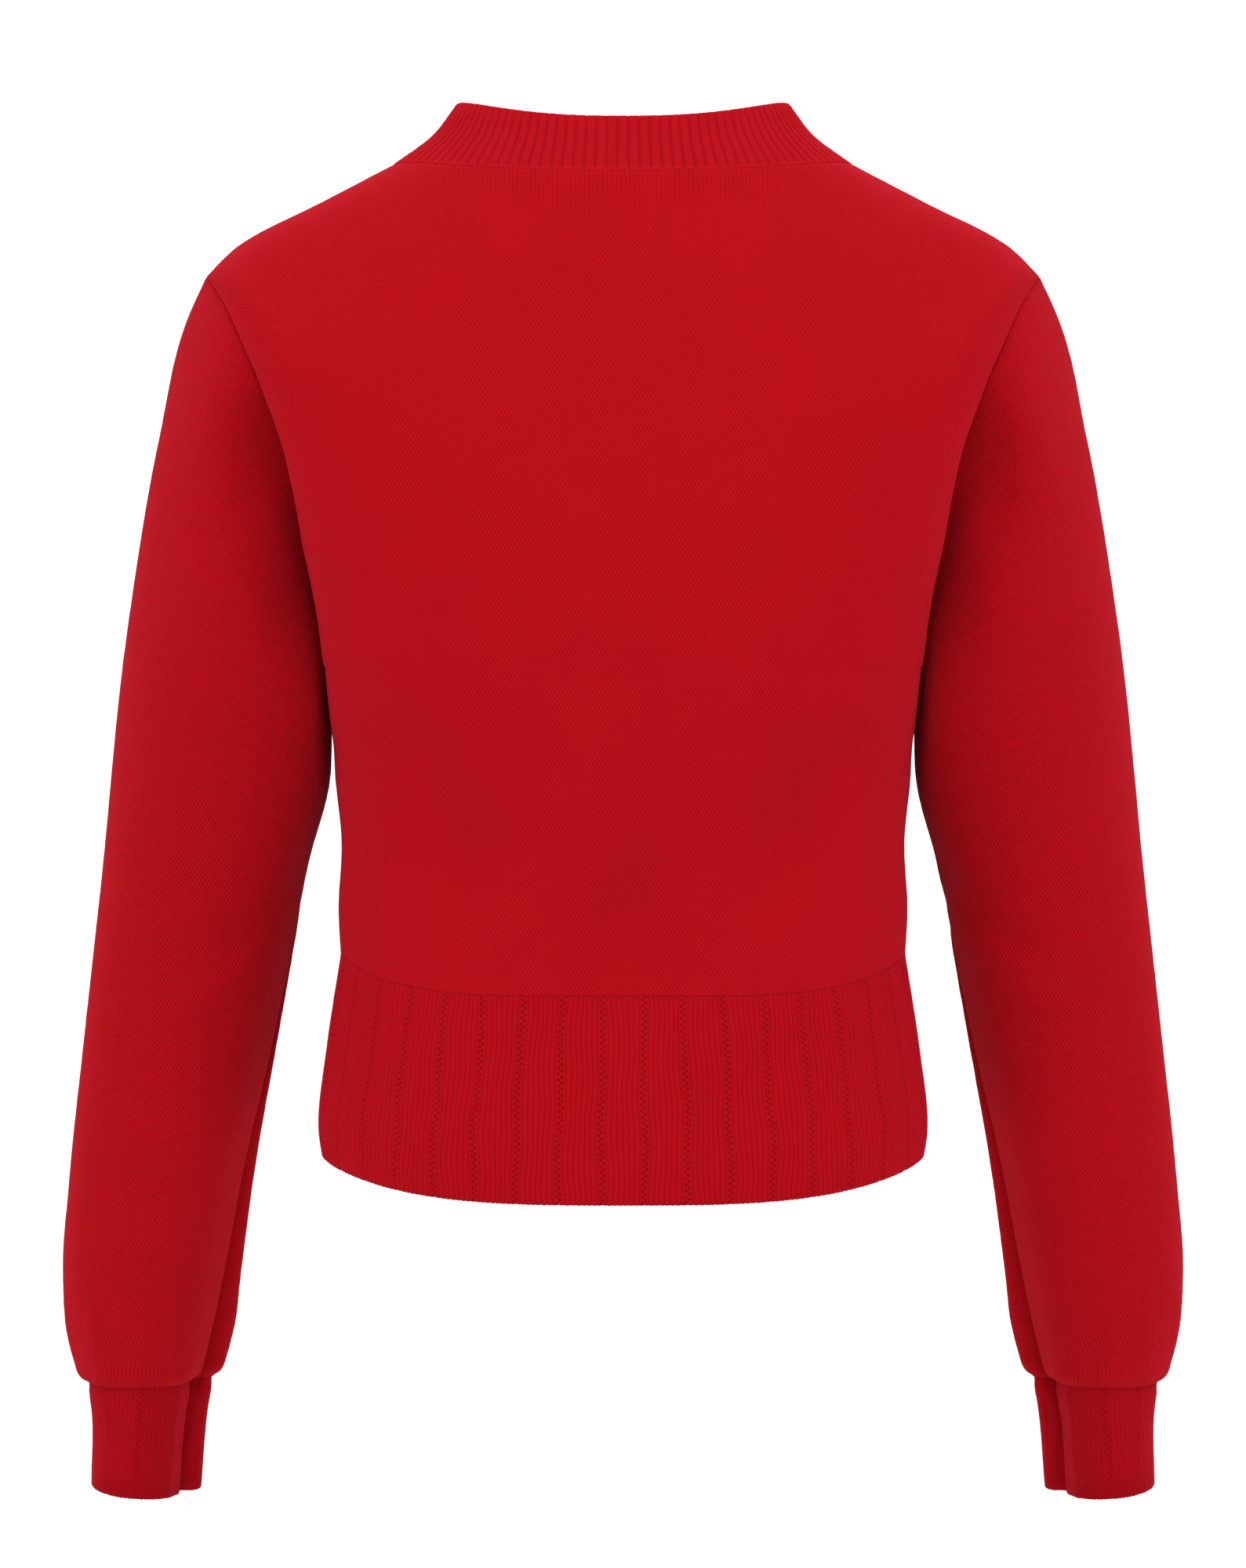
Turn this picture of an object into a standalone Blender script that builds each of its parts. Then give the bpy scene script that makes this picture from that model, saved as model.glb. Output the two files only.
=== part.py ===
"""Round-neck knit top in the hollow form that it has when worn.

Metres, +Z up. The back faces +Y and the left sleeve is at +X. The origin lies between the
shoulders, level with the sides of the neck seam, where the garment is carried.

The torso is a stack of levels. Each level is a row that runs from the middle of a panel
round to its seam, so a panel is a grid of rows and columns. Sleeves, cuffs, collar and hem
are grids too, and each grid becomes a closed wall with its own thickness.
"""

import math
from functools import partial

import bmesh
import bpy
import numpy as np

# ------------------------------------------------------------------ driving sizes, metres
BODY_WALL = 0.0022
BAND_WALL = 0.0024
COLLAR_WALL = 0.0034
SEAM_GAP = 0.0003

COLLAR_RIBS = 112
COLLAR_RIB_HEIGHT = 0.0010
HEM_EYELET_COLUMNS = 20          # in each half of the hem
CUFF_EYELET_COLUMNS = 9
EYELET_GROOVE_DEPTH = 0.0008
EYELET_GROOVE_SHARE = 0.22       # of the width of one repeat

PANEL_COLUMNS = 24
EVEN_STEPS = 181                 # fine steps by which a row's length is measured
TUCK_SHARE = 0.16                # share of a half row that turns in at the armhole
TUCK_TURN = math.radians(65.0)

# One row for each level of the torso, from the waist seam up. The seam columns are the side
# seam below the underarm, the armhole up to the shoulder tip, and then the shoulder seam.
# Turn is how far a row has turned from facing back or front when it meets its seam.
TORSO_COLUMNS = (
    "seam_x", "seam_y", "seam_z", "back_y", "back_z", "back_rise",
    "front_y", "front_z", "front_rise", "squareness", "turn", "splits")
TORSO_LEVELS = {
    "waist seam": (0.1346, 0.0, -0.3806, 0.0880, -0.3975, 4.0, -0.0930, -0.3955, 4.0, 2.4, 90, 2),
    "waist": (0.1357, 0.0, -0.3600, 0.0885, -0.3700, 4.0, -0.0945, -0.3690, 4.0, 2.4, 90, 2),
    "low ribs": (0.1342, 0.0, -0.3280, 0.0912, -0.3340, 3.5, -0.0990, -0.3350, 3.5, 2.4, 90, 2),
    "ribs": (0.1374, 0.0, -0.2950, 0.0975, -0.2970, 3.0, -0.1085, -0.3010, 3.0, 2.4, 90, 2),
    "underarm": (0.1380, -0.003, -0.2450, 0.1045, -0.2480, 3.0, -0.1165, -0.2560, 3.0, 2.4, 90, 2),
    "arm low": (0.1400, 0.010, -0.2200, 0.1070, -0.2250, 3.0, -0.1190, -0.2390, 3.0, 2.4, 90, 2),
    "chest": (0.1450, 0.026, -0.1900, 0.1080, -0.1990, 3.0, -0.1185, -0.2190, 3.0, 2.4, 90, 3),
    "blade": (0.1545, 0.044, -0.1430, 0.1073, -0.1670, 2.8, -0.1160, -0.1960, 2.6, 2.4, 88, 2),
    "upper arm": (0.1726, 0.060, -0.1050, 0.1045, -0.1410, 2.6, -0.1115, -0.1730, 2.3, 2.4, 82, 2),
    "high arm": (0.1812, 0.048, -0.0800, 0.1002, -0.1200, 2.4, -0.1070, -0.1510, 2.2, 2.4, 80, 2),
    "shoulder tip": (0.1988, 0.0, -0.0572, 0.0955, -0.1000, 2.2, -0.1035, -0.1330, 2.2, 2.3, 84, 1),
    "shoulder end": (0.1880, 0.0, -0.0462, 0.0915, -0.0850, 2.2, -0.1005, -0.1200, 2.2, 2.3, 88, 2),
    "shoulder": (0.1480, 0.0, -0.0250, 0.0815, -0.0480, 2.2, -0.0940, -0.1000, 2.5, 2.2, 90, 2),
    "neck seam": (0.1100, 0.0, -0.0052, 0.0700, -0.0166, 2.2, -0.0880, -0.0800, 3.0, 2.15, 90, 0),
}
UNDERARM = "underarm"
SHOULDER_TIP = "shoulder tip"

# Where the front half of the armhole runs: the back half is in the table above.
FRONT_ARMHOLE_COLUMNS = ("seam_x", "seam_y", "seam_z")
FRONT_ARMHOLE = {
    "arm low": (0.1385, -0.022, -0.2220),
    "chest": (0.1405, -0.044, -0.1920),
    "blade": (0.1470, -0.060, -0.1470),
    "upper arm": (0.1620, -0.066, -0.1090),
    "high arm": (0.1785, -0.050, -0.0830),
}

# At the back the cloth beside the armhole stands proud of the seam in a long soft fold.
FOLD_START = 3.0                 # share of the turn-in by which the fold stands fully proud
FOLD_COLUMNS = ("x", "y", "tuck")
BACK_ARMHOLE_FOLD = {
    "ribs": (0.1374, 0.0, 0.0),
    "underarm": (0.1408, 0.024, 0.6),
    "arm low": (0.1438, 0.034, 1.0),
    "chest": (0.1492, 0.045, 1.0),
    "blade": (0.1577, 0.058, 1.0),
    "upper arm": (0.1726, 0.060, 0.0),
}

# The ribbed hem below the waist seam.
HEM_COLUMNS = ("seam_x", "seam_z", "back_y", "back_z", "front_y", "front_z", "rise")
HEM_LEVELS = {
    "bottom": (0.1435, -0.4770, 0.0950, -0.4925, -0.0980, -0.4900, 3.0),
    "low": (0.1452, -0.4650, 0.0950, -0.4780, -0.0980, -0.4760, 3.2),
    "middle": (0.1414, -0.4250, 0.0915, -0.4380, -0.0955, -0.4360, 3.6),
    "waist seam": (0.1346, -0.3806, 0.0880, -0.3975, -0.0930, -0.3955, 4.0),
}
HEM_SQUARENESS = 2.4

# Rings of the left sleeve below the armhole. Outer is the side away from the body. The
# crease sinks into the inner side, and turn carries its front lobe towards the body.
ARM_COLUMNS = (
    "outer_x", "outer_z", "inner_x", "inner_z", "back_y", "front_y", "crease", "turn", "splits")
SLEEVE_RINGS = {
    "cap": (0.2224, -0.1350, 0.1400, -0.2740, 0.0510, -0.0690, 0.0, 0.0, 2),
    "upper arm": (0.2380, -0.2250, 0.1416, -0.3000, 0.0430, -0.0700, 0.001, 0.05, 3),
    "elbow": (0.2512, -0.3400, 0.1536, -0.3450, 0.0250, -0.0700, 0.003, 0.10, 3),
    "forearm": (0.2612, -0.4200, 0.1682, -0.4200, 0.0080, -0.0720, 0.004, 0.15, 2),
    "low arm": (0.2696, -0.4920, 0.1812, -0.4920, -0.0010, -0.0770, 0.006, 0.25, 2),
    "puff": (0.2734, -0.5400, 0.1880, -0.5400, -0.0070, -0.0810, 0.008, 0.30, 2),
    "above cuff": (0.2712, -0.5700, 0.1922, -0.5700, -0.0130, -0.0820, 0.010, 0.35, 2),
    "gather": (0.2668, -0.5850, 0.1970, -0.5850, -0.0180, -0.0800, 0.010, 0.35, 1),
    "cuff seam": (0.2624, -0.5925, 0.2018, -0.5925, -0.0205, -0.0785, 0.010, 0.35, 0),
}
CAP_START_OUT = 0.0100                  # how the sleeve leaves the armhole seam
CAP_START_UNDER = 0.0010
CAP_START_DROP = 0.0050
CAP_END_DROP = 0.0125                   # extra drop at the shoulder tip and the underarm
CAP_SPLITS = 2
CUFF_RINGS = {
    "cuff seam": (0.2624, -0.5925, 0.2018, -0.5925, -0.0205, -0.0785, 0.010, 0.35, 1),
    "cuff top": (0.2606, -0.6030, 0.2040, -0.6035, -0.0210, -0.0780, 0.010, 0.35, 1),
    "cuff bottom": (0.2602, -0.6430, 0.2082, -0.6480, -0.0200, -0.0790, 0.009, 0.35, 0),
}
CREASE_TURN = math.radians(172.0)
CREASE_WIDTH = math.radians(24.0)
ARM_SQUARENESS = 2.1

# The collar from its seam to its folded edge.
COLLAR_COLUMNS = ("side_x", "side_z", "back_y", "back_z", "front_y", "front_z", "splits")
COLLAR_RINGS = {
    "neck seam": (0.1100, -0.0052, 0.0700, -0.0166, -0.0880, -0.0800, 1),
    "middle": (0.0910, 0.0092, 0.0580, -0.0010, -0.0765, -0.0625, 1),
    "edge": (0.0792, 0.0250, 0.0490, 0.0122, -0.0660, -0.0450, 0),
}
COLLAR_SQUARENESS = 2.15
COLLAR_BACK_RISE = 2.2
COLLAR_FRONT_RISE = 3.0
COLLAR_FAN = 0.35                # how much wider the ribs of its edge are in the middle

# Soft hollows and ridges of the back, over its plain form.
BACK_FOLD_COLUMNS = ("x", "z", "lean", "length", "width", "height")
BACK_FOLDS = {
    "middle ridge": (0.000, -0.225, 0.0, 0.110, 0.030, 0.0016),
    "blade hollow": (0.074, -0.160, -8.0, 0.060, 0.030, -0.0018),
    "waist drag": (0.078, -0.315, 35.0, 0.055, 0.022, -0.0020),
    "small of back": (0.000, -0.370, 0.0, 0.040, 0.034, -0.0036),
    "beside small": (0.046, -0.372, 12.0, 0.034, 0.018, 0.0014),
}
WAIST_FOLD_SHARES = (0.0, 0.5)   # of the folds in the two rows by the waist seam

RED = (0.43, 0.006, 0.012)
BAND_TONE = 0.92                 # the ribbed bands look a little darker than the body
WOOL_ROUGHNESS = 0.9
SHARP_ANGLE = math.radians(50.0)


# ------------------------------------------------------------------------- reading tables
def table_column(table, columns, name):
    """One named column of a table, from its first row to its last."""
    place = columns.index(name)
    return np.array([row[place] for row in table.values()])


def through(knots, values, places):
    """A smooth curve through a table's values, read at the given places."""
    knots = np.asarray(knots, float)
    values = np.asarray(values, float)
    places = np.asarray(places, float)
    slopes = np.gradient(values, knots, axis=0)
    left = np.clip(np.searchsorted(knots, places, side="right") - 1, 0, len(knots) - 2)
    span = knots[left + 1] - knots[left]
    share = (places - knots[left]) / span
    if values.ndim > 1:
        span = span[:, None]
        share = share[:, None]
    square = share * share
    cube = square * share
    start = (2 * cube - 3 * square + 1) * values[left]
    start_slope = (cube - 2 * square + share) * span * slopes[left]
    end = (3 * square - 2 * cube) * values[left + 1]
    end_slope = (cube - square) * span * slopes[left + 1]
    return start + start_slope + end + end_slope


def stations(splits):
    """Level numbers of the rows, with each level cut into its number of splits."""
    places = [0.0]
    for level, count in enumerate(splits[:-1]):
        for step in range(1, int(count) + 1):
            places.append(level + step / count)
    return np.array(places)


def between_levels(table_lengths, places):
    """Turn level numbers into distances along the levels."""
    return np.interp(places, np.arange(len(table_lengths)), table_lengths)


# ---------------------------------------------------------------------------- the torso
def torso_value(name):
    """One named column of the torso's table."""
    return table_column(TORSO_LEVELS, TORSO_COLUMNS, name)


def level_lengths():
    """Distance up the torso at each level, as the mean of its middle and its side."""
    side = np.stack([torso_value("seam_x"), torso_value("seam_z")], axis=1)
    middle = np.stack([torso_value("back_y"), torso_value("back_z")], axis=1)
    steps = np.linalg.norm(np.diff(side, axis=0), axis=1)
    steps = steps + np.linalg.norm(np.diff(middle, axis=0), axis=1)
    return np.concatenate([[0.0], np.cumsum(steps / 2)])


def armhole_points():
    """Named points round the left armhole: up its back, over the tip and down its front."""
    names = list(TORSO_LEVELS)
    first = names.index(UNDERARM)
    last = names.index(SHOULDER_TIP)
    back = [TORSO_LEVELS[name][:3] for name in names[first:last + 1]]
    front = [FRONT_ARMHOLE[name] for name in names[first + 1:last]]
    return np.array(back + front[::-1])


def armhole_curve(turns):
    """Points of the armhole at places counted in table rows from the underarm."""
    points = armhole_points()
    count = len(points)
    closed = np.concatenate([points[-3:], points, points[:4]])
    steps = np.linalg.norm(np.diff(closed, axis=0), axis=1)
    lengths = np.concatenate([[0.0], np.cumsum(steps)])
    places = np.interp(np.mod(turns, count) + 3, np.arange(len(closed)), lengths)
    return through(lengths, closed, places)


def seam_rows(places, half):
    """The edge of the left half of a panel: side seam, armhole and shoulder seam."""
    lengths = level_lengths()
    along = between_levels(lengths, places)
    columns = ("seam_x", "seam_y", "seam_z")
    seam = np.stack([through(lengths, torso_value(name), along) for name in columns], axis=1)
    names = list(TORSO_LEVELS)
    first = names.index(UNDERARM)
    last = names.index(SHOULDER_TIP)
    ridge = places >= last
    seam[ridge] = shoulder_rows(places[ridge], columns)
    below = places <= first
    seam[below, 1] = np.interp(along[below], lengths, torso_value("seam_y"))
    inside = (places >= first) & (places <= last)
    turns = places[inside] - first
    if half == "front":
        turns = -turns
    seam[inside] = armhole_curve(turns)
    return seam


def shoulder_rows(places, columns):
    """The shoulder seam, which bows a little between the tip and the neck."""
    names = list(TORSO_LEVELS)
    last = names.index(SHOULDER_TIP)
    rows = np.stack([torso_value(name)[last:] for name in columns], axis=1)
    steps = np.linalg.norm(np.diff(rows, axis=0), axis=1)
    lengths = np.concatenate([[0.0], np.cumsum(steps)])
    along = np.interp(places - last, np.arange(len(rows)), lengths)
    return through(lengths, rows, along)


def fold_rows(places, half, seam):
    """The crest of the fold beside the armhole, and how far each row turns in past it."""
    names = list(TORSO_LEVELS)
    rows = [names.index(name) for name in BACK_ARMHOLE_FOLD]
    fold = seam[:, :2].copy()
    tuck = np.zeros(len(places))
    if half == "front":
        return fold, tuck
    inside = (places >= rows[0]) & (places <= rows[-1])
    for axis, name in enumerate("xy"):
        values = table_column(BACK_ARMHOLE_FOLD, FOLD_COLUMNS, name)
        fold[inside, axis] = through(rows, values, places[inside])
    values = table_column(BACK_ARMHOLE_FOLD, FOLD_COLUMNS, "tuck")
    tuck[inside] = np.clip(through(rows, values, places[inside]), 0.0, 1.0)
    fold = seam[:, :2] + (fold - seam[:, :2]) * np.clip(tuck * FOLD_START, 0.0, 1.0)[:, None]
    return fold, tuck


def half_row(middle_y, middle_z, fold, tuck, seam, rise, squareness, turn, share):
    """Points of one row from the middle of its panel to the seam."""
    reach = 1.0 - TUCK_SHARE * tuck
    power = 2.0 / squareness
    last = math.radians(turn)
    angle = np.clip(share / reach, 0.0, 1.0) * last
    left_over = math.cos(last) ** power
    x = fold[0] * (np.sin(angle) / math.sin(last)) ** power
    depth = (np.cos(angle) ** power - left_over) / (1.0 - left_over)
    y = fold[1] + (middle_y - fold[1]) * depth
    past = share > reach
    if past.any():
        bend = (share[past] - reach) / (1.0 - reach) * TUCK_TURN
        inward = (1.0 - np.cos(bend)) / (1.0 - math.cos(TUCK_TURN))
        forward = np.sin(bend) / math.sin(TUCK_TURN)
        x[past] = fold[0] + (seam[0] - fold[0]) * inward
        y[past] = fold[1] + (seam[1] - fold[1]) * forward
    z = middle_z + (seam[2] - middle_z) * np.sin(share * math.pi / 2) ** rise
    return np.stack([x, y, z], axis=1)


def even_half_row(row_at, share):
    """A half row whose points lie at the given shares of its length along the cloth."""
    fine = (1.0 - np.cos(np.linspace(0.0, math.pi, EVEN_STEPS))) / 2
    steps = np.linalg.norm(np.diff(row_at(fine), axis=0), axis=1)
    lengths = np.concatenate([[0.0], np.cumsum(steps)])
    return row_at(np.interp(share * lengths[-1], lengths, fine))


def whole_row(half, front):
    """Both halves of a row, from the right seam to the left, or the other way at the front."""
    other = half[:0:-1] * np.array([-1.0, 1.0, 1.0])
    row = np.concatenate([other, half])
    return row[::-1] if front else row


def torso_panel(half, places, columns):
    """Outer face of the back or front panel as rows of points."""
    lengths = level_lengths()
    along = between_levels(lengths, places)
    seam = seam_rows(places, half)
    fold, tuck = fold_rows(places, half, seam)
    middle_y = through(lengths, torso_value(f"{half}_y"), along)
    middle_z = through(lengths, torso_value(f"{half}_z"), along)
    rise = np.interp(along, lengths, torso_value(f"{half}_rise"))
    squareness = np.interp(along, lengths, torso_value("squareness"))
    turn = np.interp(along, lengths, torso_value("turn"))
    share = np.linspace(0.0, 1.0, columns // 2 + 1)
    rows = []
    for row in range(len(places)):
        points = half_row(
            middle_y[row], middle_z[row], fold[row], tuck[row], seam[row], rise[row],
            squareness[row], turn[row], share)
        rows.append(whole_row(points, half == "front"))
    return np.array(rows)


def hem_panel(half, places, share):
    """Outer face of one half of the hem, from its bottom edge to the waist seam."""
    knots = table_column(HEM_LEVELS, HEM_COLUMNS, "back_z")
    along = np.interp(places, np.arange(len(knots)), knots)
    value = {}
    for name in ("seam_x", "seam_z", f"{half}_y", f"{half}_z", "rise"):
        value[name] = through(knots, table_column(HEM_LEVELS, HEM_COLUMNS, name), along)
    rows = []
    for row in range(len(places)):
        side = (value["seam_x"][row], 0.0, value["seam_z"][row])
        row_at = partial(
            half_row, value[f"{half}_y"][row], value[f"{half}_z"][row], side[:2], 0.0, side,
            value["rise"][row], HEM_SQUARENESS, 90.0)
        rows.append(whole_row(even_half_row(row_at, share), half == "front"))
    return np.array(rows)


def soft_folds(points):
    """How far the soft folds of the back lift each of its points."""
    lift = np.zeros(points.shape[:-1])
    for fold in BACK_FOLDS.values():
        value = dict(zip(BACK_FOLD_COLUMNS, fold))
        sides = (1.0, -1.0) if value["x"] else (1.0,)
        for side in sides:
            lean = math.radians(value["lean"]) * side
            across = points[..., 0] - value["x"] * side
            up = points[..., 2] - value["z"]
            along = up * math.cos(lean) + across * math.sin(lean)
            aside = across * math.cos(lean) - up * math.sin(lean)
            away = (along / value["length"]) ** 2 + (aside / value["width"]) ** 2
            lift += value["height"] * np.exp(-away)
    return lift


# --------------------------------------------------------------------- collar and sleeves
def collar_rings(places, share):
    """Outer face of the collar: closed rings from the neck seam up to the folded edge."""
    knots = np.arange(len(COLLAR_RINGS))
    value = {}
    for name in COLLAR_COLUMNS[:-1]:
        values = table_column(COLLAR_RINGS, COLLAR_COLUMNS, name)
        value[name] = through(knots, values, places)
    rings = []
    for ring in range(len(places)):
        side = (value["side_x"][ring], 0.0, value["side_z"][ring])
        up = places[ring] / (len(COLLAR_RINGS) - 1)
        fanned = share + COLLAR_FAN * up * share * (1.0 - share)
        halves = []
        for half, rise in (("back", COLLAR_BACK_RISE), ("front", COLLAR_FRONT_RISE)):
            row_at = partial(
                half_row, value[f"{half}_y"][ring], value[f"{half}_z"][ring], side[:2], 0.0,
                side, rise, COLLAR_SQUARENESS, 90.0)
            halves.append(whole_row(even_half_row(row_at, fanned), half == "front")[:-1])
        rings.append(np.concatenate(halves))
    return np.array(rings)


def arm_ring(value, angles):
    """One ring of a sleeve or cuff: a soft oval with a crease on its inner side."""
    power = 2.0 / ARM_SQUARENESS
    half_x = (value["outer_x"] - value["inner_x"]) / 2
    half_y = (value["back_y"] - value["front_y"]) / 2
    across = half_x * np.sign(np.cos(angles)) * np.abs(np.cos(angles)) ** power
    along = half_y * np.sign(np.sin(angles)) * np.abs(np.sin(angles)) ** power
    depth = value["crease"] * np.exp(-((angles - CREASE_TURN) / CREASE_WIDTH) ** 2)
    across = across - depth * math.cos(CREASE_TURN)
    along = along - depth * math.sin(CREASE_TURN)
    across = across + value["turn"] * along * (1.0 - np.cos(angles)) / 2
    fit = (across - across.min()) / (across.max() - across.min())
    x = value["inner_x"] + fit * (value["outer_x"] - value["inner_x"])
    y = (value["back_y"] + value["front_y"]) / 2 + along
    middle_z = (value["outer_z"] + value["inner_z"]) / 2
    z = middle_z + (value["outer_z"] - value["inner_z"]) / 2 * np.cos(angles)
    return np.stack([x, y, z], axis=1)


def table_rings(table, angles):
    """The rings of a sleeve or cuff table, each from its row's sizes."""
    return [arm_ring(dict(zip(ARM_COLUMNS, row)), angles) for row in table.values()]


def sleeve_rings(loop, splits):
    """Outer face of the left sleeve, from the armhole loop down to the cuff seam."""
    angles = np.linspace(0.0, 2 * math.pi, len(loop), endpoint=False)
    under = np.clip(-np.cos(angles), 0.0, 1.0)
    start = np.zeros((len(loop), 3))
    start[:, 0] = CAP_START_OUT + (CAP_START_UNDER - CAP_START_OUT) * under
    start[:, 2] = -CAP_START_DROP - CAP_END_DROP * np.cos(angles) ** 2
    keys = np.array([loop, loop + start] + table_rings(SLEEVE_RINGS, angles))
    steps = np.linalg.norm(np.diff(keys, axis=0), axis=2).mean(axis=1)
    lengths = np.concatenate([[0.0], np.cumsum(steps)])
    places = stations([1, CAP_SPLITS] + list(splits))
    along = np.interp(places, np.arange(len(keys)), lengths)
    flat = through(lengths, keys.reshape(len(keys), -1), along)
    return flat.reshape(len(along), len(loop), 3)


def cuff_rings(places, angles):
    """Outer face of the left cuff, from its seam down."""
    keys = np.array(table_rings(CUFF_RINGS, angles))
    knots = [row[1] for row in CUFF_RINGS.values()]
    along = np.interp(places, np.arange(len(keys)), knots)
    flat = through(-np.array(knots), keys.reshape(len(keys), -1), -along)
    return flat.reshape(len(along), len(angles), 3)


# --------------------------------------------------------------------- grids into walls
def grid_steps(points, closed):
    """Steps along the rows and along the columns of a grid, at every point."""
    down = np.gradient(points, axis=0)
    if closed:
        across = (np.roll(points, -1, axis=1) - np.roll(points, 1, axis=1)) / 2
    else:
        across = np.gradient(points, axis=1)
    return down, across


def unit(vectors):
    """The same directions, each with length one."""
    return vectors / np.linalg.norm(vectors, axis=-1, keepdims=True)


def grid_normals(points, closed):
    """Outward normals: up the rows crossed with along the columns."""
    down, across = grid_steps(points, closed)
    return unit(np.cross(down, across))


def share_normals(sheets):
    """Give points that two pieces share one normal, so that their edges face each other."""
    found = {}
    for sheet in sheets:
        for row, column in edge_places(sheet):
            key = tuple(np.round(sheet["points"][row, column], 6))
            found.setdefault(key, []).append((sheet, row, column))
    for places in found.values():
        if len(places) < 2:
            continue
        mean = sum(sheet["normals"][row, column] for sheet, row, column in places)
        mean = unit(mean)
        for sheet, row, column in places:
            sheet["normals"][row, column] = mean


def level_rim(sheet, row):
    """Turn an edge's wall level, so that it lies flat against the next piece."""
    level = sheet["normals"][row] * np.array([1.0, 1.0, 0.0])
    sheet["normals"][row] = unit(level)


def edge_places(sheet):
    """Places of a grid's edge points."""
    rows, columns = sheet["points"].shape[:2]
    places = [(0, column) for column in range(columns)]
    places += [(rows - 1, column) for column in range(columns)]
    if not sheet["closed"]:
        places += [(row, 0) for row in range(1, rows - 1)]
        places += [(row, columns - 1) for row in range(1, rows - 1)]
    return places


def edge_shift(edge, inner, normals, closed):
    """Half the seam gap, from the edge into its piece and along the cloth."""
    if closed:
        along = np.roll(edge, -1, axis=0) - np.roll(edge, 1, axis=0)
    else:
        along = np.gradient(edge, axis=0)
    across = np.cross(unit(along), normals)
    inward = np.sum(across * (inner - edge), axis=1, keepdims=True)
    return unit(across) * np.sign(inward) * SEAM_GAP / 2


def open_seams(sheet):
    """Draw a piece's sewn edges back by half the seam gap."""
    points = sheet["points"]
    normals = sheet["normals"]
    moved = np.zeros_like(points)
    closed = sheet["closed"]
    if "first row" in sheet["seams"]:
        moved[0] += edge_shift(points[0], points[1], normals[0], closed)
    if "last row" in sheet["seams"]:
        moved[-1] += edge_shift(points[-1], points[-2], normals[-1], closed)
    if "sides" in sheet["seams"]:
        left = edge_shift(points[:, 0], points[:, 1], normals[:, 0], False)
        right = edge_shift(points[:, -1], points[:, -2], normals[:, -1], False)
        moved[:, 0] += left
        moved[:, -1] += right
    for row, column, shift in sheet.get("set_shifts", ()):
        moved[row, column] = shift
    sheet["points"] = points + moved


def build_wall(sheet):
    """Make a closed solid from a grid: outer face, plain inner face and edges."""
    points = sheet["points"]
    normals = sheet["normals"]
    inner = points - normals * sheet["wall"]
    outer = points + normals * sheet["relief"][..., None]
    rows, columns = points.shape[:2]
    vertices = np.concatenate([outer.reshape(-1, 3), inner.reshape(-1, 3)])
    half = rows * columns

    def outside(row, column):
        return row * columns + column % columns

    def inside(row, column):
        return outside(row, column) + half

    faces = []
    spans = columns if sheet["closed"] else columns - 1
    for column in range(spans):
        faces.append([
            outside(0, column), outside(0, column + 1),
            inside(0, column + 1), inside(0, column)])
        faces.append([
            outside(rows - 1, column), inside(rows - 1, column),
            inside(rows - 1, column + 1), outside(rows - 1, column + 1)])
    for row in range(rows - 1):
        for column in range(spans):
            faces.append([
                outside(row, column), outside(row + 1, column),
                outside(row + 1, column + 1), outside(row, column + 1)])
            faces.append([
                inside(row, column), inside(row, column + 1),
                inside(row + 1, column + 1), inside(row + 1, column)])
    if not sheet["closed"]:
        for row in range(rows - 1):
            faces.append([
                outside(row, 0), inside(row, 0), inside(row + 1, 0), outside(row + 1, 0)])
            faces.append([
                outside(row, columns - 1), outside(row + 1, columns - 1),
                inside(row + 1, columns - 1), inside(row, columns - 1)])
    return vertices, faces


def add_piece(sheet):
    """One named object with its own material."""
    vertices, faces = build_wall(sheet)
    mesh = bpy.data.meshes.new(sheet["name"])
    mesh.from_pydata([tuple(vertex) for vertex in vertices.tolist()], [], faces)
    work = bmesh.new()
    work.from_mesh(mesh)
    bmesh.ops.recalc_face_normals(work, faces=work.faces)
    if work.calc_volume(signed=True) < 0:
        bmesh.ops.reverse_faces(work, faces=work.faces)
    work.to_mesh(mesh)
    work.free()
    mesh.shade_smooth()
    mesh.set_sharp_from_angle(angle=SHARP_ANGLE)
    mesh.materials.append(knit_material(sheet["name"]))
    piece = bpy.data.objects.new(sheet["name"], mesh)
    bpy.context.scene.collection.objects.link(piece)
    return piece


def knit_material(name):
    """Red wool knit, a little darker in the ribbed bands."""
    material = bpy.data.materials.new(f"{name}_knit")
    material.use_nodes = True
    shader = material.node_tree.nodes["Principled BSDF"]
    tone = BAND_TONE if name.startswith(("hem", "cuff")) else 1.0
    shader.inputs["Base Color"].default_value = (*(tone * part for part in RED), 1.0)
    shader.inputs["Roughness"].default_value = WOOL_ROUGHNESS
    shader.inputs["Metallic"].default_value = 0.0
    return material


def new_sheet(name, points, wall, closed, seams):
    """One piece before it is thickened: its grid, wall, seams and outward normals."""
    return {
        "name": name, "points": points, "wall": wall, "closed": closed, "seams": seams,
        "relief": np.zeros(points.shape[:2]), "normals": grid_normals(points, closed)}


# -------------------------------------------------------------------------- the garment
def armhole_frame(loop):
    """Directions round the armhole: out from its middle in its plane, and along the arm."""
    along = unit(np.roll(loop, -1, axis=0) - np.roll(loop, 1, axis=0))
    centre = loop.mean(axis=0)
    arm = unit(np.cross(loop - centre, along).sum(axis=0))
    if arm[0] < 0:
        arm = -arm
    out = np.cross(along, arm)
    outward = np.sum(out * (loop - centre), axis=1, keepdims=True)
    out = unit(out * np.sign(outward))
    side = np.cross(along, out)
    side = side * np.sign(side @ arm)[:, None]
    return along, out, unit(side)


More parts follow.
